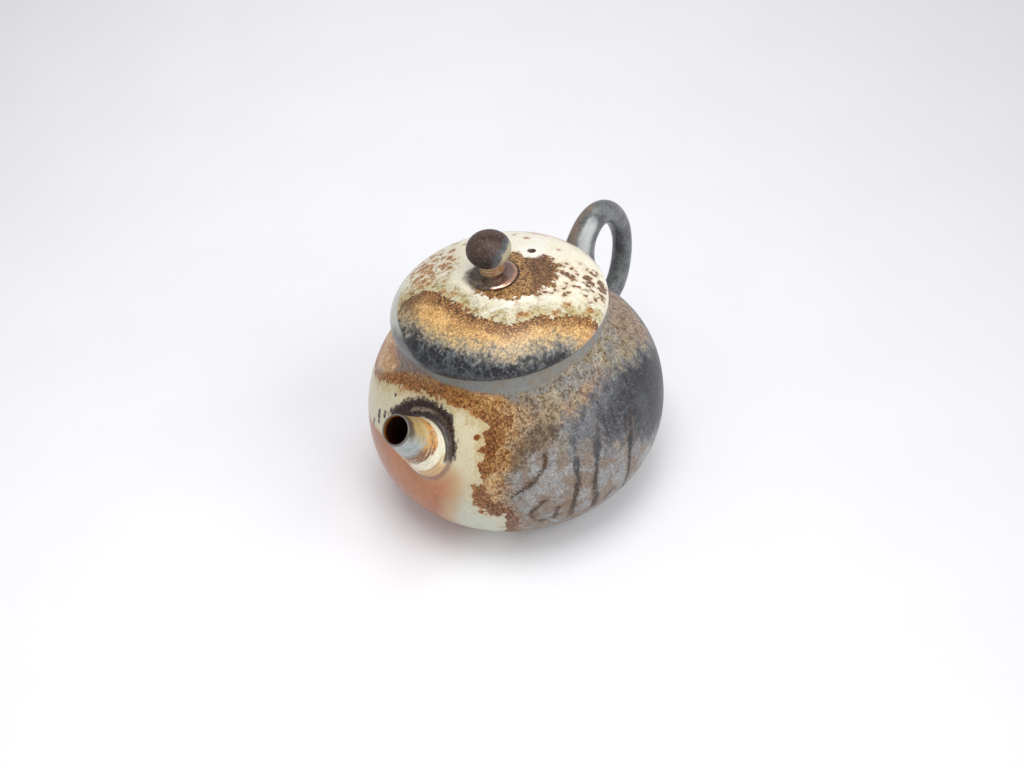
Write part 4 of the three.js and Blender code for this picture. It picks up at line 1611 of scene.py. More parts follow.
    def colours(self, m: GlazeBench) -> tuple[Tone, Tone, Tone]:
        """Lay the pot's colours, roughness and relief.

        Args:
            m: The finish being made.

        Returns:
            Colour, roughness and relief.
        """
        m.weave()
        runny = m.noise(1.8, 3, 0.6, stretch=(1, 1, 0.6))
        edge = m.mark("cream") + runny.about(1.7) + (m.grain.about(0.5) + m.clump.about(0.6))
        colour = self.veil(m, self.ground(m))
        brown = (m.mark("tan") + m.cloud.about(1.5)).rise(-1.6, 1.6)
        colour = brown.mix(colour, m.patchy.dapple(0.4, 0.6, self.fawn, self.sand))
        colour = self.smoke(m, colour)
        # Purple-brown on the left of the neck under the lid's edge: painted shade.
        violet = (m.mark("neck_shade") + m.patchy.about(1.2)).rise(-1.8, 1.4, 0.9)
        colour = violet.mix(colour, m.clump.shade(self.neck_shade, 0.8, 1.2))
        colour = self.fire(m, edge, colour)
        colour = m.fine.shade(colour, 0.86, 1.14)
        throat = (m.mark("throat") + m.clump.about(0.6)).rise(-0.7, 0.9, 0.9)
        neck = (m.patchy + m.mark("east").rise(20, 70) * 0.1).rise(0.52, 0.66, 0.7).mix(self.neck, self.neck_brown)
        colour = throat.mix(colour, (m.mottle * 0.5 + m.grain * 0.5).shade(neck, 0.82, 1.16))
        cover = edge.rise(-0.2, 0.16)
        colour = cover.mix(colour, m.fine.shade(self.pale(m, edge), 0.96, 1.04))

        clay = m.grain.rise(0.45, 0.7, 0.4).mix(self.biscuit, self.biscuit_dark)
        bare = (m.height + m.grain.about(0.15)).rise(0.55, 0.95, 0.0, 1.0)
        inside = m.grain.rise(0.56, 0.7, 0.4).mix(self.hollow, self.hollow_fleck)
        within = m.mark("hollow")
        colour = (bare * (1.0 - within)).mix(colour, clay)
        colour = within.mix(colour, inside)
        rough = cover.rise(0, 1, 0.24, 0.4) + m.grain.about(0.05)
        rough = rough + bare * 0.35
        relief = m.grain * 0.6 + m.mottle * 0.6
        relief = relief + cover * -0.25
        return colour, rough, relief

    def make(self) -> bpy.types.Material:
        """Make the pot's finish.

        Returns:
            The finish.
        """
        m = GlazeBench("pot_kiln_glaze")
        m.shader.inputs["Specular IOR Level"].default_value = 0.26
        colour, rough, relief = self.colours(m)
        return m.finish(colour, rough, relief, 0.1)


@dataclass(frozen=True)
class SpoutGlaze:
    """The spout's glaze: cream at the root, an orange streak, grey-blue towards a thin silver lip."""

    pot: PotGlaze
    root: Colour = tint(232, 225, 200)
    peach: Colour = tint(180, 134, 97)
    streak: Colour = tint(208, 146, 66)
    brown: Colour = tint(120, 70, 32)
    olive: Colour = tint(177, 152, 100)
    straw: Colour = tint(199, 182, 143)
    mist: Colour = tint(155, 162, 161)
    smoke: Colour = tint(66, 58, 54)
    silver: Colour = tint(106, 97, 88)
    line: Colour = tint(52, 42, 39)
    amber: Colour = tint(135, 78, 20)
    deep: Colour = tint(50, 18, 8)
    golden: Colour = tint(206, 168, 112)
    ring_rate: float = 22.0
    turn_rate: float = 0.028
    ridge_rate: float = 95.0

    def make(self) -> bpy.types.Material:
        """Make the spout's finish.

        Returns:
            The finish.
        """
        m = GlazeBench("spout_kiln_glaze")
        base, _, relief = self.pot.colours(m)
        run, turn = m.mark("run"), m.mark("turn")
        grain = m.noise(0.6, 3, 0.6)
        cloud = m.noise(2.0, 3, 0.55, shift=(0.2, 0, 0.4))
        winding = m.add("ShaderNodeCombineXYZ")
        m.feed(winding.inputs[0], run * self.ring_rate)
        m.feed(winding.inputs[1], turn * self.turn_rate)
        thrown = m.noise(1 / MM, 3, 0.6, where=Tone(m, winding.outputs[0]))  # size 1 in wound coordinates
        wavy = run + (cloud.about(0.035) + thrown.about(0.03))

        own = (turn + cloud.about(14)).dapple(62, 104, self.olive, self.mist)
        own = wavy.rise(0.62, 0.46).mix(own, self.straw)
        shift = turn.rise(60, 130, 0.13)
        inward = wavy - shift
        own = inward.rise(0.36, 0.27).mix(own, self.root)
        band = inward.rise(0.19, 0.26) * inward.rise(0.54, 0.4)
        band = band * (thrown * 0.5 + grain * 0.5).rise(0.38, 0.54, 1.0, 0.3)
        streak = (turn + thrown.about(40)).dapple(80, 118, self.streak, self.brown)
        own = band.mix(own, cloud.rise(0.5, 0.62, 0.7).mix(streak, self.brown))
        under = (turn + cloud.about(12)).rise(100, 132) * wavy.rise(0.2, 0.1)
        own = under.mix(own, self.peach)
        golden = (turn + cloud.about(20)).rise(84, 104) * (wavy + cloud.about(0.05)).rise(0.17, 0.08, 0.85)
        own = golden.mix(own, self.golden)
        line = run.rise(0.062, 0.035) * (turn.rise(-30, -5) * turn.rise(112, 100))
        own = (line * 0.9).mix(own, self.line)
        smoke = wavy.rise(0.77, 0.9) * (turn + cloud.about(14)).rise(112, 74)
        own = (smoke * 0.9).mix(own, self.smoke)
        own = grain.shade(thrown.shade(own, 0.86, 1.1), 0.9, 1.1)
        own = run.rise(0.972, 0.99).mix(own, self.silver)
        # Inside the bore: near-black deeper in as painted shade, amber towards the lip.
        inner = (run + cloud.about(0.05)).dapple(0.9, 1.0, self.deep, self.amber)
        own = m.mark("hollow").mix(own, inner)
        out = (m.mark("proud") + grain.about(0.2)).rise(0.3, 0.8)
        colour = out.larger(m.mark("hollow")).mix(base, own)
        ridges = (run * self.ridge_rate).sine()
        relief = relief + (ridges * 0.25 + thrown * 0.3)
        return m.finish(colour, run.rise(0.95, 0.99, 0.16, 0.3), relief, 0.08)


@dataclass(frozen=True)
class HandleGlaze:
    """The handle's glaze: slate grey, with a pale painted highlight along its near leg, and faint brown spots."""

    pot: PotGlaze
    slate: Colour = tint(113, 116, 116)
    deep: Colour = tint(85, 86, 88)
    pale: Colour = tint(179, 184, 183)
    brown: Colour = tint(135, 114, 98)

    def make(self) -> bpy.types.Material:
        """Make the handle's finish.

        Returns:
            The finish.
        """
        m = GlazeBench("handle_kiln_glaze")
        base, _, _ = self.pot.colours(m)
        run, turn = m.mark("run"), m.mark("turn")
        grain = m.noise(0.7, 3, 0.6)
        cloud = m.noise(4, 3, 0.55)
        own = (cloud * 0.6 + grain * 0.4).dapple(0.42, 0.6, self.deep, self.slate)
        # Pale streak along the near leg: painted highlight.
        near = (run + cloud.about(9)).rise(92, 116) * (turn + cloud.about(9)).rise(8, 26)
        near = near * turn.rise(82, 58)
        own = (near * 0.9).mix(own, self.pale)
        tawny = run.rise(78, 96) * turn.rise(20, -10)
        own = (tawny * cloud.rise(0.4, 0.6, 0.8)).mix(own, self.brown)
        own = (grain.rise(0.6, 0.72) * cloud.rise(0.45, 0.6, 0.6)).mix(own, self.brown)
        out = (m.mark("proud") + cloud.about(1.2)).rise(0.3, 3.2)
        colour = out.mix(base, own)
        return m.finish(colour, grain.rise(0.3, 0.7, 0.36, 0.24), grain + cloud, 0.08)


@dataclass(frozen=True)
class LidGlaze:
    """The lid's glaze: cream with a golden band and a blue-black edge in front, brown round the knob."""

    cream: Colour = tint(240, 232, 208)
    white: Colour = tint(246, 243, 231)
    olive: Colour = tint(184, 170, 114)
    gold: Colour = tint(216, 166, 99)
    honey: Colour = tint(181, 131, 73)
    umber: Colour = tint(80, 55, 35)
    sand: Colour = tint(190, 164, 118)
    drab: Colour = tint(113, 103, 85)
    mist: Colour = tint(121, 126, 131)
    ash: Colour = tint(70, 74, 80)
    ink: Colour = tint(30, 30, 33)
    rim: Colour = tint(202, 201, 194)
    peach: Colour = tint(190, 141, 105)
    biscuit: Colour = tint(214, 204, 184)
    shaded_cream: Colour = tint(217, 207, 178)
    moss: Colour = tint(136, 114, 60)
    stray: Colour = tint(168, 124, 76)
    stray_dark: Colour = tint(118, 82, 46)
    bore: Colour = tint(112, 66, 34)
    rim_grey: Colour = tint(122, 122, 122)
    rim_gap_shadow: Colour = tint(54, 46, 44)
    biscuit_dark: Colour = tint(188, 170, 140)
    rust: Colour = tint(180, 132, 80)
    rust_dark: Colour = tint(134, 90, 50)
    flush: Colour = tint(206, 168, 120)
    halo: Colour = tint(200, 151, 97)
    spot: Colour = tint(136, 96, 60)
    spot_dark: Colour = tint(88, 60, 38)
    fawn: Colour = tint(196, 166, 124)
    pool_brown: Colour = tint(155, 115, 73)
    pool_dark: Colour = tint(116, 82, 57)
    glint: Colour = tint(200, 157, 101)
    pool_edge: Colour = tint(141, 92, 50)
    ring: Colour = tint(46, 34, 26)
    knob_shade: Colour = tint(120, 102, 84)
    knob_shade_dark: Colour = tint(66, 50, 38)
    copper: Colour = tint(162, 110, 60)
    bright: Colour = tint(246, 210, 148)
    butter: Colour = tint(234, 194, 132)
    hem: Colour = tint(140, 94, 52)
    hem_dark: Colour = tint(85, 53, 27)
    end: Colour = tint(132, 98, 64)
    end_dark: Colour = tint(84, 60, 42)
    haze: Colour = tint(160, 150, 130)
    ash_pale: Colour = tint(134, 134, 130)
    coal: Colour = tint(24, 24, 26)
    slate: Colour = tint(66, 68, 70)
    coal_warm: Colour = tint(26, 26, 28)

    def make(self) -> bpy.types.Material:
        """Make the lid's finish.

        Returns:
            The finish.
        """
        m = GlazeBench("lid_kiln_glaze")
        m.weave()
        colour = m.cloud.rise(0.4, 0.64, 0.8).mix(self.cream, self.white)
        left = self.left(m)
        # Darker cream on the lid's left side: painted shade.
        colour = (left + m.cloud.about(4)).rise(2, 14, 0.5).mix(colour, self.shaded_cream)
        edge = m.mark("band") + m.clump.about(1.0) + m.grain.about(0.8)
        olive = (edge + m.cloud.about(2)).rise(-7.2, -1.0) * m.patchy.rise(0.36, 0.6, 0.9, 0.45)
        colour = olive.mix(colour, m.grain.dapple(0.45, 0.62, self.olive, self.moss))
        line = m.mark("streak") + m.patchy.about(0.5) + m.grain.about(0.3)
        colour = line.rise(-0.8, -0.1, 0.7).mix(colour, self.white)
        stray = edge.rise(-4.5, -0.6) * (m.grain * 0.4 + m.clump * 0.6).rise(0.52, 0.6)
        colour = (stray * 0.75).mix(colour, m.fine.dapple(0.42, 0.6, self.stray, self.stray_dark))
        colour = self.spots(m, colour)
        colour = self.pool(m, colour)
        colour = edge.rise(-0.3, 0.3).mix(colour, self.front(m, edge))

        vent = m.mark("vent")
        colour = (vent + m.clump.about(0.9)).rise(4.3, 2.6).mix(colour, self.white)
        # Dark brown on the vent hole's wall: painted shade in the hole.
        colour = vent.rise(1.2, 1.06).mix(colour, self.bore)
        thin = m.axis("Y").rise(2, 22) * -0.55
        back = m.axis("X") * -0.97 - m.axis("Y") * 0.24
        rear = back.rise(12, 20)
        loose = m.cloud.about(2.2) * rear + m.patchy.about(0.3)
        value = m.mark("lip") + loose + thin
        lip = rear.mix(value.rise(-0.3, 0.4), value.rise(-0.6, 2.4)) * 0.92
        rim = m.mark("ash").dapple(-0.5, 2.0, self.rim, self.rim_grey)
        colour = lip.mix(colour, back.rise(16, 23).mix(rim, self.peach))
        # Thin dark line along the lid's lower edge in front: painted shadow of the gap over the pot's rim.
        line = m.height.rise(61.15, 60.95) * m.mark("ash").rise(-3.0, 0.0, 0.85)
        colour = line.mix(colour, self.rim_gap_shadow)
        under = m.mark("hollow")
        plain = m.grain.rise(0.5, 0.7, 0.4).mix(self.biscuit, self.biscuit_dark)
        colour = under.mix(m.fine.shade(colour, 0.92, 1.07), plain)
        rough = edge.rise(-0.3, 0.6, 0.36, 0.22) + m.grain.about(0.05)
        relief = m.grain * 0.6 + m.patchy * 0.6
        return m.finish(colour, rough + under * 0.25, relief, 0.1)

    def spots(self, m: GlazeBench, ground: Tone) -> Tone:
        """Lay the rusty flecks of one side and the brown spots of the other over the cream.

        Args:
            m: The finish being made.
            ground: What lies under them.

        Returns:
            The colour.
        """
        ragged = m.clump.about(0.55) + m.grain.about(0.35)
        blot = m.noise(1.7, 2, 0.5, shift=(0.3, 0.3, 0.9))
        rusty = m.grain.dapple(0.42, 0.58, self.rust, self.rust_dark)
        tinged = (m.mark("flecks") + m.patchy.about(3)).rise(-2.0, 2.0)
        colour = (tinged * blot.rise(0.48, 0.6, 0.6)).mix(ground, self.flush)
        colour = (tinged * (blot * 0.6 + m.grain * 0.4).rise(0.505, 0.56, 0.85)).mix(colour, rusty)
        colour = (m.mark("rusty") + ragged).rise(-1.0, 0.2, 0.45).mix(colour, self.halo)
        colour = (m.mark("rusty") + ragged).rise(-0.3, 0.35, 0.9).mix(colour, rusty)
        dark = m.grain.dapple(0.42, 0.58, self.spot, self.spot_dark)
        loose = m.mark("scatter").rise(-1.5, 1.5) * blot.rise(0.62, 0.65, 0.7)
        flush = (m.mark("brown") + m.clump.about(0.9)).rise(-1.5, 0.2, 0.5)
        colour = flush.mix(colour, self.fawn)
        spot = (m.mark("brown") + ragged).rise(-0.12, 0.24).larger(loose)
        return (spot * 0.93).mix(colour, dark)

    def pool(self, m: GlazeBench, ground: Tone) -> Tone:
        """Lay the brown pool round the knob, with a painted contact shadow round the knob's foot and painted shade
        beside the knob.

        Args:
            m: The finish being made.
            ground: What lies under it.

        Returns:
            The colour.
        """
        inner = m.mark("patch") + m.clump.about(1.3) + m.grain.about(1.1)
        dark = (m.mark("heart") + m.patchy.about(1.5)).rise(-2.0, 1.0)
        pool = dark.mix(self.pool_brown, self.pool_dark)
        pool = (m.grain * 0.6 + m.mottle * 0.4).rise(0.46, 0.58, 0.9).mix(pool, self.umber)
        glint = m.fine.rise(0.52, 0.64) * (1.0 - dark * 0.7)
        pool = (glint * 0.8).mix(pool, self.glint)
        pool = inner.rise(1.8, 0.2, 0.5).mix(pool, self.pool_edge)
        # Dark ring just outside the knob's foot, on one side: painted contact shadow.
        ring = m.mark("hub").rise(7.6, 6.9) * m.mark("west").rise(-1.0, 2.0, 0.85)
        pool = ring.mix(pool, self.ring)
        # Darker browns beside the knob on its left, also over the pool's left part: painted shade.
        near = (m.mark("hub") + m.patchy.about(1.6)).rise(10.5, 8.0)
        knob_shaded = near * (m.mark("west") + m.clump.about(1.0)).rise(-1.0, -4.0)
        knob_shade = (m.grain * 0.5 + m.clump * 0.5).dapple(0.44, 0.58, self.knob_shade, self.knob_shade_dark)
        west = m.mark("west").rise(-3.6, -6.6)
        sharp = inner.rise(-0.3, 0.4)
        body = sharp.mix(ground, m.fine.shade(pool, 0.85, 1.15))
        faint = (m.mark("patch") + m.patchy.about(1.2)).rise(-1.0, 1.6, 0.9).mix(ground, knob_shade)
        body = west.mix(body, faint)
        return (knob_shaded * m.mark("patch").rise(-1.0, 2.5, 0.8)).mix(body, knob_shade)

    def front(self, m: GlazeBench, edge: Tone) -> Tone:
        """Lay the front: speckled brown hem, gold, a pale beige fringe and the charcoal edge.

        Args:
            m: The finish being made.
            edge: Distance into the front.

        Returns:
            The colour.
        """
        gold = m.patchy.dapple(0.42, 0.6, self.gold, self.honey)
        gold = m.grain.rise(0.52, 0.66, 0.6).mix(gold, self.copper)
        gold = m.fine.rise(0.46, 0.66, 0.5).mix(gold, self.bright)
        gold = m.cloud.rise(0.5, 0.62, 0.4).mix(gold, self.butter)
        slim = m.axis("Y").rise(16, 26, 0.8)
        hem = (edge + m.patchy.about(1.8) + slim).rise(5.4, 1.4)
        rusty = m.grain.dapple(0.42, 0.58, self.hem, self.hem_dark)
        rusty = m.fine.rise(0.55, 0.66, 0.7).mix(rusty, self.gold)
        gold = hem.mix(gold, rusty)
        end = (self.left(m) + m.patchy.about(3)).rise(16.5, 22.5, 0.85)
        gold = end.mix(gold, m.grain.dapple(0.44, 0.6, self.end, self.end_dark))
        drawn = m.noise(1.5, 3, 0.6, stretch=(1, 1, 0.5), shift=(0.8, 0.1, 0.2))
        into = m.mark("ash") + m.patchy.about(2.0) + (m.grain.about(0.9) + drawn.about(0.8))
        gold = into.rise(-6.0, -2.2, 0.85).mix(gold, m.grain.dapple(0.45, 0.62, self.sand, self.drab))
        haze = m.patchy.rise(0.45, 0.58).mix(m.grain.dapple(0.42, 0.6, self.mist, self.drab), self.haze)
        gold = into.rise(-3.4, 0.4).mix(gold, haze)
        ink = (m.patchy * 0.4 + m.grain * 0.6).dapple(0.45, 0.55, self.ash, self.ink)
        ink = (m.grain.rise(0.46, 0.36) * m.patchy.rise(0.5, 0.62, 0.6, 0.1)).mix(ink, self.ash_pale)
        ink = m.fine.rise(0.54, 0.64, 0.7).mix(ink, self.coal)
        ink = (end * 0.9).mix(ink, m.fine.dapple(0.4, 0.6, self.slate, self.coal_warm))
        gold = into.rise(-1.4, 1.6).mix(gold, ink)
        spot = into.rise(-4.0, 0.6) * (m.clump * 0.6 + m.patchy * 0.4).rise(0.5, 0.6)
        return m.fine.shade((spot * 0.85).mix(gold, self.ink), 0.86, 1.16)

    @staticmethod
    def left(m: GlazeBench) -> Tone:
        """Distance to the left of the lid's middle, in millimetres."""
        return m.axis("X") * 0.5 - m.axis("Y") * 0.87


@dataclass(frozen=True)
class PlainPorcelain:
    """Pale porcelain with a thin glaze or none, for what stays out of sight."""

    name: str
    body: Colour = tint(214, 206, 188)
    fleck: Colour = tint(176, 152, 118)
    shade: Colour = tint(198, 192, 178)
    rough: float = 0.5

    def make(self) -> bpy.types.Material:
        """Make the finish.

        Returns:
            The finish.
        """
        m = GlazeBench(self.name)
        grain = m.noise(0.7, 3, 0.6)
        cloud = m.noise(5, 3, 0.5)
        colour = cloud.rise(0.4, 0.65, 0.5).mix(self.body, self.shade)
        colour = grain.rise(0.6, 0.72, 0.6).mix(colour, self.fleck)
        return m.finish(colour, grain.rise(0.3, 0.7, self.rough, self.rough - 0.1), grain, 0.06)


@dataclass(frozen=True)
class StemGlaze:
    """The stem's glaze: a copper-pink lustre on the foot, cream and golden brown rings above."""

    seat: float
    copper: Colour = tint(221, 171, 143)
    mauve: Colour = tint(158, 128, 120)
    cream: Colour = tint(192, 178, 143)
    gold: Colour = tint(168, 114, 63)
    dark: Colour = tint(70, 52, 42)
    waist: Colour = tint(92, 66, 56)
    smoke: Colour = tint(104, 86, 70)
    foot_shade_dark: Colour = tint(54, 40, 31)
    ash: Colour = tint(160, 146, 124)
    amber: Colour = tint(140, 88, 42)

    def make(self) -> bpy.types.Material:
        """Make the stem's finish.

        Returns:
            The finish.
        """
        m = GlazeBench("stem_lustre_glaze")
        grain = m.noise(0.6, 3, 0.6)
        cloud = m.noise(2.4, 3, 0.5)
        tall = m.axis("Z") - self.seat
        right = m.axis("Y") * 0.88 - m.axis("X") * 0.48
        foot = (tall + cloud.about(0.15)).dapple(0.6, 0.95, self.copper, self.mauve)
        foot = tall.rise(1.0, 1.7).mix(foot, self.waist)
        # Dim mottled browns laid over the foot's copper on its left, away from the lamps: painted shade.
        dim = grain * 0.5 + cloud * 0.5
        dim = dim.dapple(0.42, 0.58, self.smoke, self.foot_shade_dark)
        dim = (right + cloud.about(2.0)).rise(-4.6, -7.0, 0.8).mix(dim, self.ash)
        shaded = (right + cloud.about(0.8)).rise(1.6, 0.2)
        foot = shaded.mix(foot, dim)
        rings = (tall * 7.5 + cloud.about(2.0)).sine()
        upper = rings.dapple(-1.4, 1.4, self.cream, self.gold)
        upper = (right + grain.about(0.8)).rise(-1.0, 1.5, 0.7).mix(upper, self.amber)
        upper = tall.rise(3.4, 4.6, 0.7).mix(upper, self.cream)
        low = (tall + grain.about(0.2)).rise(1.3, 1.9)
        colour = low.mix(foot, upper)
        # Dark line along the foot's lower edge on its lit side: painted contact shadow on the lid.
        colour = (tall.rise(0.4, 0.1) * shaded.rise(1.0, 0.5)).mix(colour, self.dark)
        lustre = (1.0 - low) * (1.0 - shaded)
        m.feed(m.shader.inputs["Metallic"], lustre * 0.8)
        m.shader.inputs["Coat Weight"].default_value = 0.6
        m.shader.inputs["Coat Roughness"].default_value = 0.06
        return m.finish(colour, shaded.rise(0.0, 1.0, 0.5, 0.13), grain + cloud, 0.03)


@dataclass(frozen=True)
class BallGlaze:
    """The ball's glaze: matt purple-brown with fine pale specks, darker below as painted shade, with a painted
    blue-grey sheen and olive on one side.
    """

    centre: float
    plum: Colour = tint(82, 63, 56)
    night: Colour = tint(33, 23, 20)
    speck: Colour = tint(132, 114, 104)
    painted_sheen: Colour = tint(96, 102, 108)
    olive: Colour = tint(178, 168, 138)
    painted_sheen_fleck: Colour = tint(70, 68, 68)

    def make(self) -> bpy.types.Material:
        """Make the ball's finish.

        Returns:
            The finish.
        """
        m = GlazeBench("ball_matt_glaze")
        grain = m.noise(0.55, 3, 0.65)
        cloud = m.noise(2.6, 3, 0.55)
        tall = m.axis("Z") - self.centre
        side = m.axis("Y") * 0.84 - m.axis("X") * 0.27 - tall * 0.47
        side = side + cloud.about(0.7) + grain.about(0.5)
        tall = tall + cloud.about(1.0)
        # Darker towards the bottom: painted shade.
        colour = grain.shade(tall.dapple(-1.6, 3.4, self.night, self.plum), 0.75, 1.25)
        colour = (cloud + grain * 0.3).rise(0.62, 0.78, 0.5).mix(colour, self.night)
        colour = grain.rise(0.57, 0.66, 0.6).mix(colour, self.speck)
        m.shader.inputs["Specular IOR Level"].default_value = 0.3
        # Blue-grey speckled band on the lamps' side: painted sheen.
        painted_sheen = grain.dapple(0.42, 0.58, self.painted_sheen, self.painted_sheen_fleck)
        colour = side.rise(2.0, 3.6).mix(colour, painted_sheen)
        colour = side.rise(3.8, 5.0).mix(colour, self.olive)
        return m.finish(colour, side.rise(1.5, 4.5, 0.32, 0.44), grain + cloud * 0.5, 0.06)


# ---------------------------------------------------------------- camera and studio


@dataclass
class Viewpoint:
    """The camera at the photograph's angle."""

    target: Colour = (0.0, 0.0, 30.0)
    distance: float = 450.0
    azimuth: float = 42.5
    elevation: float = 42.136
    roll: float = 10.425
    lens: float = 55.38
    shift: tuple[float, float] = (-2.15 / 1024, 4.54 / 1024)

    def build(self) -> None:
        """Place the camera."""
        a, e, r = (math.radians(v) for v in (self.azimuth, self.elevation, self.roll))
        back = Vector((math.cos(e) * math.cos(a), math.cos(e) * math.sin(a), math.sin(e)))
        level = Vector((-math.sin(a), math.cos(a), 0))
        upright = back.cross(level)
        right = math.cos(r) * level - math.sin(r) * upright
        up = math.sin(r) * level + math.cos(r) * upright
        data = bpy.data.cameras.new("photo_camera")
        data.lens, data.sensor_width = self.lens, 36.0
        data.shift_x, data.shift_y = self.shift
        data.clip_start = 0.01
        camera = put_in_scene("photo_camera", data)
        turn = Matrix((right, up, back)).transposed().to_4x4()
        camera.matrix_world = Matrix.Translation((Vector(self.target) + back * self.distance) * MM) @ turn
        bpy.context.scene.camera = camera


@dataclass(frozen=True)
class SoftBox:
    """A square soft box that faces the teapot, in degrees, metres and watts."""

    name: str
    azimuth: float
    elevation: float
    distance: float
    size: float
    power: float

    def hang(self) -> None:
        """Hang the soft box."""
        data = bpy.data.lights.new(self.name, "AREA")
        data.shape, data.size, data.energy = "SQUARE", self.size, self.power
        light = put_in_scene(self.name, data)
        a, e = math.radians(self.azimuth), math.radians(self.elevation)
        aim = Vector((math.cos(e) * math.cos(a), math.cos(e) * math.sin(a), math.sin(e)))
        light.location = Vector((0, 0, 0.03)) + aim * self.distance
        light.rotation_euler = aim.to_track_quat("Z", "Y").to_euler()


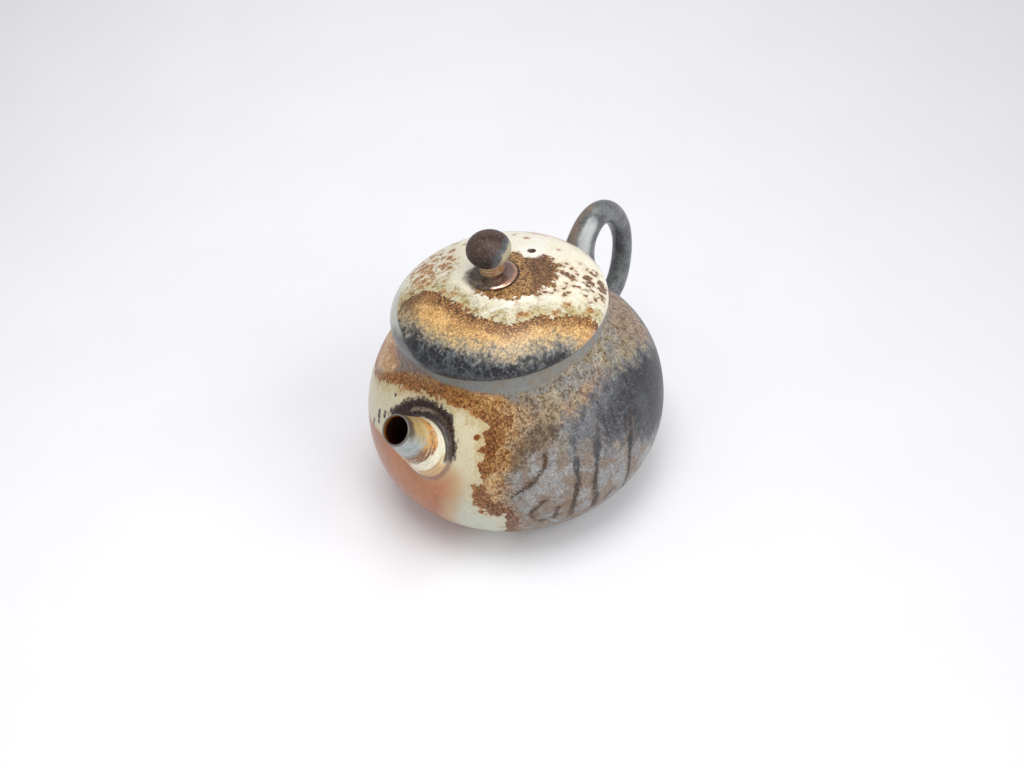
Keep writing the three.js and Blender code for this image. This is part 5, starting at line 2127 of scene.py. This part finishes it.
@dataclass
class Studio:
    """White paper sweep, an even white surround and soft boxes, in metres and degrees."""

    sweep_azimuth: float = 204.8
    sweep_start: float = 0.134
    sweep_radius: float = 0.9
    sweep_rise: float = 80.0
    far_edge: float = -12.0
    near_edge: float = -2.6
    width: float = 4.0
    flare: float = 16.0
    widest_flare: float = 10.0
    columns: int = 25
    white: Colour = tint(250, 250, 253)
    fibre: Colour = tint(248, 248, 251)
    shade: Colour = tint(192, 191, 195)
    shade_place: Colour = (0.066, -0.035, 0)
    shade_turn: float = 132.5
    shade_reach: Colour = (0.489, 0.949, 1.5)
    surround: float = 0.54
    daylight: Colour = (0.97, 0.985, 1.0)
    boxes: tuple[SoftBox, ...] = (
        SoftBox("top_soft_box", 60, 80, 0.9, 0.5, 3.85),
        SoftBox("side_soft_box", 90, 32, 1.2, 0.9, 6.4),
    )

    def __post_init__(self) -> None:
        """Work out the way the sweep goes up."""
        a = math.radians(self.sweep_azimuth)
        self.out = np.array([math.cos(a), math.sin(a), 0])
        self.side = np.array([-math.sin(a), math.cos(a), 0])

    def build_floor(self) -> None:
        """Build the paper, flat under the teapot and curved up behind it."""
        far = np.linspace(self.far_edge, self.near_edge, 8)
        near = np.linspace(self.near_edge + 0.1, self.sweep_start, 24)
        flat = np.concatenate([far, near])
        turn = np.linspace(0, math.radians(self.sweep_rise), 40)[1:]
        away = np.concatenate([flat, self.sweep_start + self.sweep_radius * np.sin(turn)])
        lift = np.concatenate([0 * flat, self.sweep_radius * (1 - np.cos(turn))])
        flared = np.clip(self.flare * (self.sweep_start - away), 0, self.widest_flare)
        across = (self.width / 2 + flared)[:, None] * np.linspace(-1, 1, self.columns)
        points = self.out * away[:, None, None] + self.side * across[:, :, None]
        points[:, :, 2] += lift[:, None]
        index = np.arange(points.size // 3).reshape(-1, self.columns)
        faces = np.stack([index[:-1, :-1], index[:-1, 1:], index[1:, 1:], index[1:, :-1]], -1)
        mesh = bpy.data.meshes.new("paper_sweep")
        mesh.from_pydata(points.reshape(-1, 3).tolist(), [], faces.reshape(-1, 4).tolist())
        mesh.polygons.foreach_set("use_smooth", [True] * len(mesh.polygons))
        mesh.materials.append(self.paper())
        floor = put_in_scene("paper_sweep", mesh)

    def paper(self) -> bpy.types.Material:
        """Make the paper: white round the teapot and greyer further out, as painted falloff of light; white again
        far out on the side away from the sweep.

        Returns:
            The finish.
        """
        m = GlazeBench("white_paper")
        m.tree.nodes.remove(m.shader)
        matt = m.add("ShaderNodeBsdfDiffuse")
        white = m.noise(40, 3, 0.5).dapple(0.3, 0.7, self.white, self.fibre)
        around = m.add("ShaderNodeMapping", vector_type="TEXTURE")
        m.feed(around.inputs["Vector"], m.place)
        around.inputs["Location"].default_value = self.shade_place
        around.inputs["Rotation"].default_value = (0, 0, math.radians(self.shade_turn))
        around.inputs["Scale"].default_value = self.shade_reach
        shade = m.gauge("LENGTH", Tone(m, around.outputs[0])).dapple(0.02, 1.0, white, self.shade)
        behind = m.gauge("DOT_PRODUCT", m.place, tuple(self.out)).rise(0.25, 0.05)
        far = m.gauge("LENGTH", m.place).rise(0.28, 0.75) * behind
        m.feed(matt.inputs["Color"], far.mix(shade, self.white))
        m.feed(m.tree.nodes["Material Output"].inputs["Surface"], Tone(m, matt.outputs[0]))
        return m.material

    def build_surround(self) -> None:
        """Light from all round; the camera, also through glass, sees plain white instead."""
        world = bpy.data.worlds.new("white_surround")
        bpy.context.scene.world = world
        world.use_nodes = True
        tree = world.node_tree
        plain, white = tree.nodes["Background"], tree.nodes.new("ShaderNodeBackground")
        for node, colour, strength in ((plain, self.daylight, self.surround), (white, (1, 1, 1), 1.0)):
            node.inputs["Color"].default_value = (*colour, 1)
            node.inputs["Strength"].default_value = strength
        path, seen = tree.nodes.new("ShaderNodeLightPath"), tree.nodes.new("ShaderNodeMath")
        seen.operation = "MAXIMUM"
        mix = tree.nodes.new("ShaderNodeMixShader")
        for source, target in (
            (path.outputs["Is Camera Ray"], seen.inputs[0]),
            (path.outputs["Is Transmission Ray"], seen.inputs[1]),
            (seen.outputs[0], mix.inputs[0]),
            (plain.outputs[0], mix.inputs[1]),
            (white.outputs[0], mix.inputs[2]),
            (mix.outputs[0], tree.nodes["World Output"].inputs["Surface"]),
        ):
            tree.links.new(source, target)

    def build(self) -> None:
        """Build floor, surround and soft boxes."""
        self.build_floor()
        self.build_surround()
        for box in self.boxes:
            box.hang()


def main() -> None:
    """Build the teapot and its studio."""
    logging.basicConfig(level=logging.INFO, format="%(message)s")
    bpy.context.scene.view_settings.view_transform = "Standard"
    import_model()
    Viewpoint().build()
    Studio().build()

    pot = Pot()
    glaze, marks = PotGlaze(), PotEffects()
    pot_skin = pot.build()
    marks.stamp(pot, pot_skin, pot_skin.points)
    spout = Spout(pot)
    pot_skin.open_round(spout.root, spout.normal, spout.hole_radius)
    pot_skin.place(Body.POT, "pot_body", "pot_glaze", glaze.make())

    spout_skin = spout.build()
    marks.stamp(pot, spout_skin, spout_skin.points)
    spout_skin.place(Body.POT, "spout", "spout_glaze", SpoutGlaze(glaze).make())
    thin = PlainPorcelain("strainer_thin_glaze", rough=0.35).make()
    Strainer(spout).build().place(Body.POT, "spout_strainer", "strainer_glaze", thin)

    handle_skin = Handle(pot).build()
    marks.stamp(pot, handle_skin, handle_skin.points)
    handle_skin.place(Body.POT, "handle", "handle_glaze", HandleGlaze(glaze).make())

    lid = Lid()
    lid_skin = lid.build()
    LidEffects().stamp(lid, lid_skin, lid_skin.points)
    lid.pierce(lid_skin)
    lid_skin.place(Body.LID, "lid", "lid_glaze", LidGlaze().make())
    bare = PlainPorcelain("flange_bare_porcelain").make()
    Flange().build().place(Body.LID, "lid_flange", "flange_porcelain", bare)

    knob = Knob(lid.top)
    knob.build_stem().place(Body.LID, "knob_stem", "stem_glaze", StemGlaze(lid.top).make())
    knob.build_ball().place(Body.LID, "knob_ball", "ball_glaze", BallGlaze(knob.centre).make())


if __name__ == "__main__":
    main()
